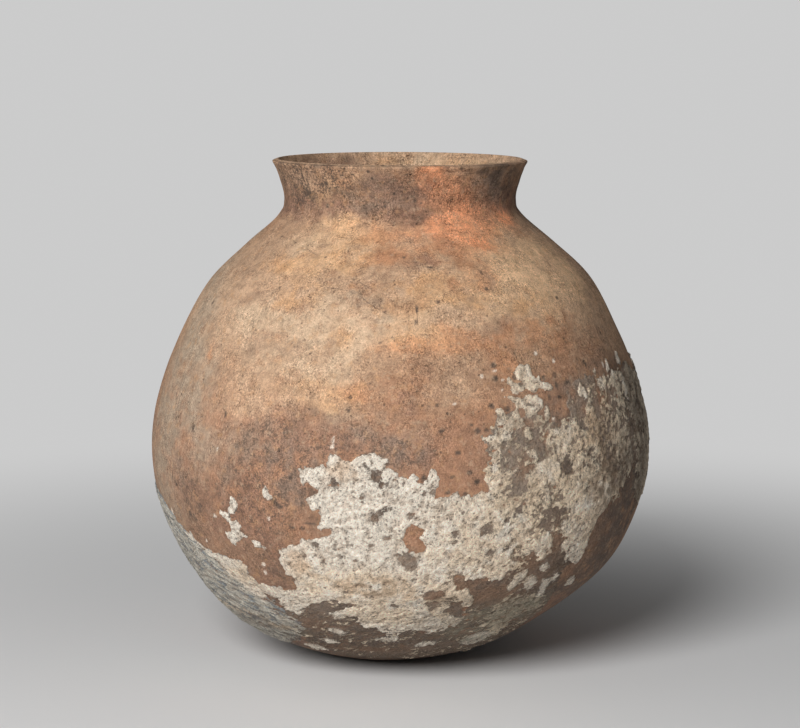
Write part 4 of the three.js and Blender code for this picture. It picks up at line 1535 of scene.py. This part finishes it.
class Finish:
    """A material in the making."""

    def __init__(self, name):
        self.material = bpy.data.materials.new(name)
        self.material.use_nodes = True
        self.tree = self.material.node_tree
        self.shader = self.tree.nodes["Principled BSDF"]

    def feed(self, socket, value):
        if isinstance(value, Value):
            self.tree.links.new(value.socket, socket)
        elif socket.type == "RGBA":
            socket.default_value = (*value, 1.0)
        else:
            socket.default_value = value

    def node(self, kind, settings=None, output=None, **inputs):
        """Adds a node: its settings first, then its inputs by name. Returns the named output."""
        node = self.tree.nodes.new("ShaderNode" + kind)
        for name, setting in (settings or {}).items():
            setattr(node, name, setting)
        for name, value in inputs.items():
            names = (name, name.replace("_", " "))
            fitting = (s for s in node.inputs if s.enabled and (s.name in names or s.identifier == name))
            self.feed(next(fitting), value)
        return Value(self, next(s for s in node.outputs if s.enabled and output in (None, s.name)))

    def math(self, operation, first, second):
        node = self.tree.nodes.new("ShaderNodeMath")
        node.operation = operation
        self.feed(node.inputs[0], first)
        self.feed(node.inputs[1], second)
        return Value(self, node.outputs[0])

    def mix(self, first, second, amount, blend="MIX"):
        """A colour between two colours."""
        return self.node("Mix", {"data_type": "RGBA", "blend_type": blend}, "Result",
                         Factor=amount, A=first, B=second)

    def smooth(self, value, low, high):
        """Rises smoothly from 0 at low to 1 at high."""
        return self.node("MapRange", {"interpolation_type": "SMOOTHSTEP"}, Value=value,
                         From_Min=low, From_Max=high)

    def millimetres(self):
        """The object's own coordinates, in millimetres."""
        place = self.node("TexCoord", output="Object")
        return self.node("VectorMath", {"operation": "SCALE"}, Vector=place, Scale=1.0 / MM)

    def stretched(self, place, x, y, z):
        """Coordinates in which a pattern is this many times longer along each axis."""
        return self.node("VectorMath", {"operation": "DIVIDE"}, Vector=place, Vector_001=(x, y, z))

    def shaken(self, place, size, reach):
        """Coordinates moved about by noise, so that round things get an uneven outline."""
        shake = self.node("TexNoise", output="Color", Vector=place, Scale=1.0 / size, Detail=2.0)
        return self.node("VectorMath", {"operation": "MULTIPLY_ADD"}, Vector=shake, Vector_001=(reach,) * 3,
                         Vector_002=place)

    def noise(self, place, size, detail=3.0, roughness=0.55, distortion=0.0):
        return self.node("TexNoise", output="Fac", Vector=place, Scale=1.0 / size, Detail=detail,
                         Roughness=roughness, Distortion=distortion)

    def attribute(self, name, output):
        return self.node("Attribute", {"attribute_name": name}, output)

    def cells(self, place, size, output):
        return self.node("TexVoronoi", output=output, Vector=place, Scale=1.0 / size)

    def dots(self, place, size, radius, share):
        """Dots of all sizes up to a radius, a share of a cell's size, in some cells of a random pattern."""
        chance = self.cells(place, size, "Color")
        largest = radius * self.node("SeparateColor", output="Green", Color=chance) + SMALLEST_DOT
        is_dot = self.node("SeparateColor", output="Red", Color=chance) < share
        return (1 - self.smooth(self.cells(place, size, "Distance"), 0.5 * largest, largest)) * is_dot

    def bump(self, height):
        """Normals for a height in millimetres."""
        return self.node("Bump", Height=height, Distance=MM)

    def finished(self, **inputs):
        for name, value in inputs.items():
            self.feed(self.shader.inputs[name.replace("_", " ")], value)
        return self.material


print("a finish has", sum(callable(part) for part in vars(Finish).values()), "methods")

# %% [markdown]
# ## The clay's finish
#
# Low-fired clay is matt. Close up it shows clouds of colour a centimetre or two across, a finer
# mottling, wisps left by the hand that wiped it, sand and voids of about a millimetre, and specks
# of soot. Each is one noise at its own scale. The grey ones multiply the painted colour, so the
# paint stays what it is on average, and weak patches of four more hues keep it lively. In some
# areas the grain is worn smooth. Soot, flecks, pits, voids and scratches darken the clay where the
# mesh says that they lie thickly. The bump carries the sand, the voids and the wiping.

# %% Clay
HUES = (("ochre", 5.0, 0.45), ("cream", 3.4, 0.40), ("rust", 8.5, 0.35), ("plum", 2.3, 0.50))
MOTTLE_SIZE, GRAIN_SIZE, WORN_SIZE = 6.5, 0.9, 17.0
MOTTLE_CONTRAST, WIPING_CONTRAST, GRAIN_CONTRAST, WISP_CONTRAST = 1.30, 0.25, 1.90, 1.20
FLECK_SIZE, PIT_CELL, PIT_RADIUS, VOID_CELL, VOID_RADIUS = 1.7, 2.6, 0.28, 9.0, 0.12
SOOT_STRENGTH = 0.90
CLAY_GLOSS = 0.25


def clay_color(clay, place, contrast, mottle, grain, wiped, clouds, cloud_size):
    """The painted colour with clouds, mottling, grain and hues in it."""
    cloud = clay.noise(place, cloud_size, 3.0)
    wisps = clay.noise(clay.stretched(place, 1.1, 1.1, 3.4), 1.0, 3.0, 0.7, 1.2)
    worn = 0.60 + 0.90 * clay.smooth(clay.noise(place, WORN_SIZE, 3.0, 0.6), 0.38, 0.62)
    level = clouds * (cloud - 0.5) + MOTTLE_CONTRAST * (mottle - 0.5) + WIPING_CONTRAST * (wiped - 0.5)
    level = level + worn * (GRAIN_CONTRAST * (grain - 0.5) + WISP_CONTRAST * (wisps - 0.5))
    color = clay.mix(clay.attribute("tint", "Color"), 1.0 + contrast * level, 1.0, "MULTIPLY")
    for shade, size, amount in HUES:
        patches = clay.smooth(clay.noise(place, size, 5.0, 0.7), 0.52, 0.70)
        color = clay.mix(color, PALETTE[shade], amount * patches)
    return color


def clay_marks(clay, place, specks):
    """Flecks, pits, voids and scratches, 1 in a mark and 0 beside it, with their darkness and depth."""
    uneven = clay.shaken(place, 1.1, 1.6)
    flecks = clay.smooth(clay.noise(place, FLECK_SIZE, 4.0, 0.8, 1.5) + 0.06 * specks, 0.655, 0.715)
    pits = clay.dots(uneven, PIT_CELL, PIT_RADIUS, 0.06 + 0.20 * specks)
    voids = clay.dots(uneven, VOID_CELL, VOID_RADIUS, 0.04 + 0.10 * specks)
    scratch = clay.attribute("scratch", "Fac")
    broken_line = clay.smooth(clay.noise(place, 4.0, 3.0, 0.7), 0.38, 0.56)
    lines = (1.0 - clay.smooth(scratch * scratch, 0.01, 0.14)) * broken_line
    return (flecks, 0.60, 0.12), (pits, 0.60, 0.30), (voids, 0.70, 0.45), (lines, 0.45, 0.15)


def clay_finish(name, contrast, bump, cloud_size, clouds):
    clay = Finish(name)
    place = clay.millimetres()
    specks = clay.attribute("specks", "Fac")
    mottle = clay.noise(place, MOTTLE_SIZE, 6.0, 0.72)
    grain = clay.noise(place, GRAIN_SIZE, 3.0, 0.8, 0.6)
    wiped = clay.noise(clay.stretched(place, 16.0, 16.0, 1.3), 1.0, 3.0, 0.6)
    color = clay_color(clay, place, contrast, mottle, grain, wiped, clouds, cloud_size)
    sooty = 0.55 * clay.noise(place, 1.2, 3.0, 0.75) + 0.45 * clay.noise(place, 4.5, 4.0, 0.7)
    sooty = sooty + 0.12 * specks
    color = clay.mix(color, PALETTE["soot"], SOOT_STRENGTH * clay.smooth(sooty, 0.60, 0.67) * specks)
    height = 0.40 * grain + 0.30 * mottle + 0.10 * wiped
    for mark, darkness, depth in clay_marks(clay, place, specks):
        color = clay.mix(color, PALETTE["soot"], darkness * mark)
        height = height - depth * mark
    clay.shader.inputs["Specular IOR Level"].default_value = CLAY_GLOSS
    return clay.finished(Base_Color=color, Roughness=0.85 + 0.25 * (mottle - 0.5),
                         Normal=clay.bump(bump * height))


earthenware = clay_finish("earthenware", contrast=1.2, bump=1.0, cloud_size=22.0, clouds=0.30)
smoked_earthenware = clay_finish("smoked_earthenware", contrast=1.6, bump=1.7, cloud_size=9.0, clouds=0.60)
for name, (piece, *_) in clay_pieces.items():
    on_neck = name in ("neck_collar", "lip_band")
    piece.data.materials.append(smoked_earthenware if on_neck else earthenware)
print("the clay's material has", len(earthenware.node_tree.nodes), "nodes")

# %% [markdown]
# ## The crust's finish
#
# Lime crust is chalky and crumbly. The mesh's depth inside the lime and a fine noise decide where
# it shows and where the earth does, and a thin powder of lime lies on the earth as well. Cream
# crumbs and darker grains multiply the painted colour. The hollows between the crumbs get painted
# shade, browner and darker, and soil and small pits darken it further where it is dirty. The finest
# grains are smaller than the mesh, so a bump adds them, less of it on the earth.

# %% Crust
CRUST_GLOSS = 0.2
CRUMB_SIZE, CRUST_GRAIN_SIZE, CRUST_MOTTLE_SIZE = 2.4, 0.9, 9.0
CRUST_LEVEL, CRUMB_CONTRAST, CRUST_GRAIN_CONTRAST, CRUST_MOTTLE_CONTRAST = 1.07, 1.90, 2.20, 0.80
POWDER_STRENGTH, HOLLOW_SHADE_STRENGTH, SOIL_STRENGTH, CRUST_PIT_STRENGTH = 0.55, 0.35, 0.80, 0.65
CRUST_PIT_CELL, CRUST_PIT_RADIUS, CRUST_PIT_SHARE = 2.3, 0.30, 0.30


def crust_finish():
    crust = Finish("lime_crust")
    place = crust.attribute("grain", "Vector")
    limed = crust.attribute("lime", "Fac")
    hollow = crust.attribute("hollow", "Fac")
    dirt = crust.attribute("dirt", "Fac")
    crumbs = crust.noise(place, CRUMB_SIZE, 5.0, 0.76)
    grain = crust.noise(place, CRUST_GRAIN_SIZE, 3.0, 0.8)
    mottle = crust.noise(place, CRUST_MOTTLE_SIZE, 4.0, 0.6)
    share = crust.smooth(limed + 7.0 * (crust.noise(place, 1.6, 4.0, 0.75) - 0.5), -0.6, 0.4)
    powder = crust.smooth(crust.noise(place, 1.3, 4.0, 0.8), 0.54, 0.66)
    share = share + POWDER_STRENGTH * powder * (1.0 - share)
    color = crust.mix(crust.attribute("earth", "Color"), crust.attribute("tint", "Color"), share)
    level = CRUST_LEVEL + CRUST_MOTTLE_CONTRAST * (mottle - 0.5) + CRUST_GRAIN_CONTRAST * (grain - 0.5)
    level = level + CRUMB_CONTRAST * (crumbs - 0.5)
    color = crust.mix(color, level, 1.0, "MULTIPLY")
    # Painted shade: the hollows among the crumbs are mixed towards tan, darker and browner.
    color = crust.mix(color, PALETTE["tan"], HOLLOW_SHADE_STRENGTH * hollow)
    soiled = crust.smooth(crust.noise(place, 1.6, 4.0, 0.8) + 0.12 * dirt + 0.07 * hollow, 0.61, 0.70)
    color = crust.mix(color, PALETTE["umber"], SOIL_STRENGTH * soiled)
    pits = crust.dots(crust.shaken(place, 1.1, 1.4), CRUST_PIT_CELL, CRUST_PIT_RADIUS, CRUST_PIT_SHARE)
    color = crust.mix(color, PALETTE["umber"], CRUST_PIT_STRENGTH * pits)
    height = (1.9 * crumbs + 1.40 * grain - 0.40 * soiled - 0.60 * pits) * (0.65 + 0.35 * share)
    crust.shader.inputs["Specular IOR Level"].default_value = CRUST_GLOSS
    return crust.finished(Base_Color=color, Roughness=0.9 + 0.1 * (grain - 0.5), Normal=crust.bump(height))


lime_crust = crust_finish()
for piece in crust_pieces:
    piece.data.materials.append(lime_crust)
print("the crust's material has", len(lime_crust.node_tree.nodes), "nodes")

# %% [markdown]
# ## The floor
#
# The floor is pale and has no edge: far from the jar the camera sees it in the same even tone as
# the world behind it. Only the camera does. Light still meets a pale floor, which throws some of it
# back up under the belly.

# %% The floor
BACKDROP_TONE = 0.60
FLOOR_TONE, FLOOR_ROUGHNESS = 0.80, 0.8
FLOOR_HALF_SIZE = 6.0
FLOOR_FADE_START, FLOOR_FADE_END = 0.15, 0.8


def floor_finish():
    finish = Finish("floor")
    finish.shader.inputs["Base Color"].default_value = (FLOOR_TONE, FLOOR_TONE, FLOOR_TONE, 1.0)
    finish.shader.inputs["Roughness"].default_value = FLOOR_ROUGHNESS
    place = finish.node("TexCoord", output="Object")
    away = finish.node("VectorMath", {"operation": "LENGTH"}, "Value", Vector=place)
    faded = finish.smooth(away, FLOOR_FADE_START, FLOOR_FADE_END)
    seen_faded = faded * finish.node("LightPath", output="Is Camera Ray")
    lit = Value(finish, finish.shader.outputs[0])
    even_tone = finish.node("Emission", Color=(BACKDROP_TONE,) * 3, Strength=1.0)
    blend = finish.node("MixShader", Fac=seen_faded, Shader=lit, Shader_001=even_tone)
    finish.tree.links.new(blend.socket, finish.tree.nodes["Material Output"].inputs["Surface"])
    return finish.material


floor_mesh = bmesh.new()
bmesh.ops.create_grid(floor_mesh, x_segments=1, y_segments=1, size=FLOOR_HALF_SIZE)
floor_data = bpy.data.meshes.new("floor")
floor_mesh.to_mesh(floor_data)
floor_mesh.free()
floor = add_object("floor", floor_data)
floor.data.materials.append(floor_finish())
print("the floor is %.0f m wide" % (2 * FLOOR_HALF_SIZE))

# %% [markdown]
# ## Lamp and world
#
# One large soft lamp high on the left lights the jar as a studio does, and a dim white world
# fills the shadows. The camera sees the world in the backdrop's tone.

# %% Lamp and world
LAMP_PLACE, LAMP_AIM = (-0.8, -1.75, 1.22), (0.0, 0.0, 0.15)
LAMP_WIDTH, LAMP_WATTS = 1.2, 48.5
WORLD_FILL = 0.11

lamp_data = bpy.data.lights.new("key", "AREA")
lamp_data.shape = "DISK"
lamp_data.size = LAMP_WIDTH
lamp_data.energy = LAMP_WATTS
lamp = add_object("key", lamp_data)
lamp.location = LAMP_PLACE
lamp.rotation_euler = (Vector(LAMP_AIM) - Vector(LAMP_PLACE)).to_track_quat("-Z", "Y").to_euler()

world = bpy.data.worlds.new("studio")
world.use_nodes = True
sky = world.node_tree.nodes
tone = sky.new("ShaderNodeMapRange")
tone.inputs["To Min"].default_value = WORLD_FILL
tone.inputs["To Max"].default_value = BACKDROP_TONE
sky["Background"].inputs["Color"].default_value = (1.0, 1.0, 1.0, 1.0)
world.node_tree.links.new(sky.new("ShaderNodeLightPath").outputs["Is Camera Ray"], tone.inputs["Value"])
world.node_tree.links.new(tone.outputs["Result"], sky["Background"].inputs["Strength"])
bpy.context.scene.world = world
bpy.context.scene.view_settings.view_transform = "Standard"
print("a lamp of %.1f watts and a world of strength %.2f light the jar" % (LAMP_WATTS, WORLD_FILL))
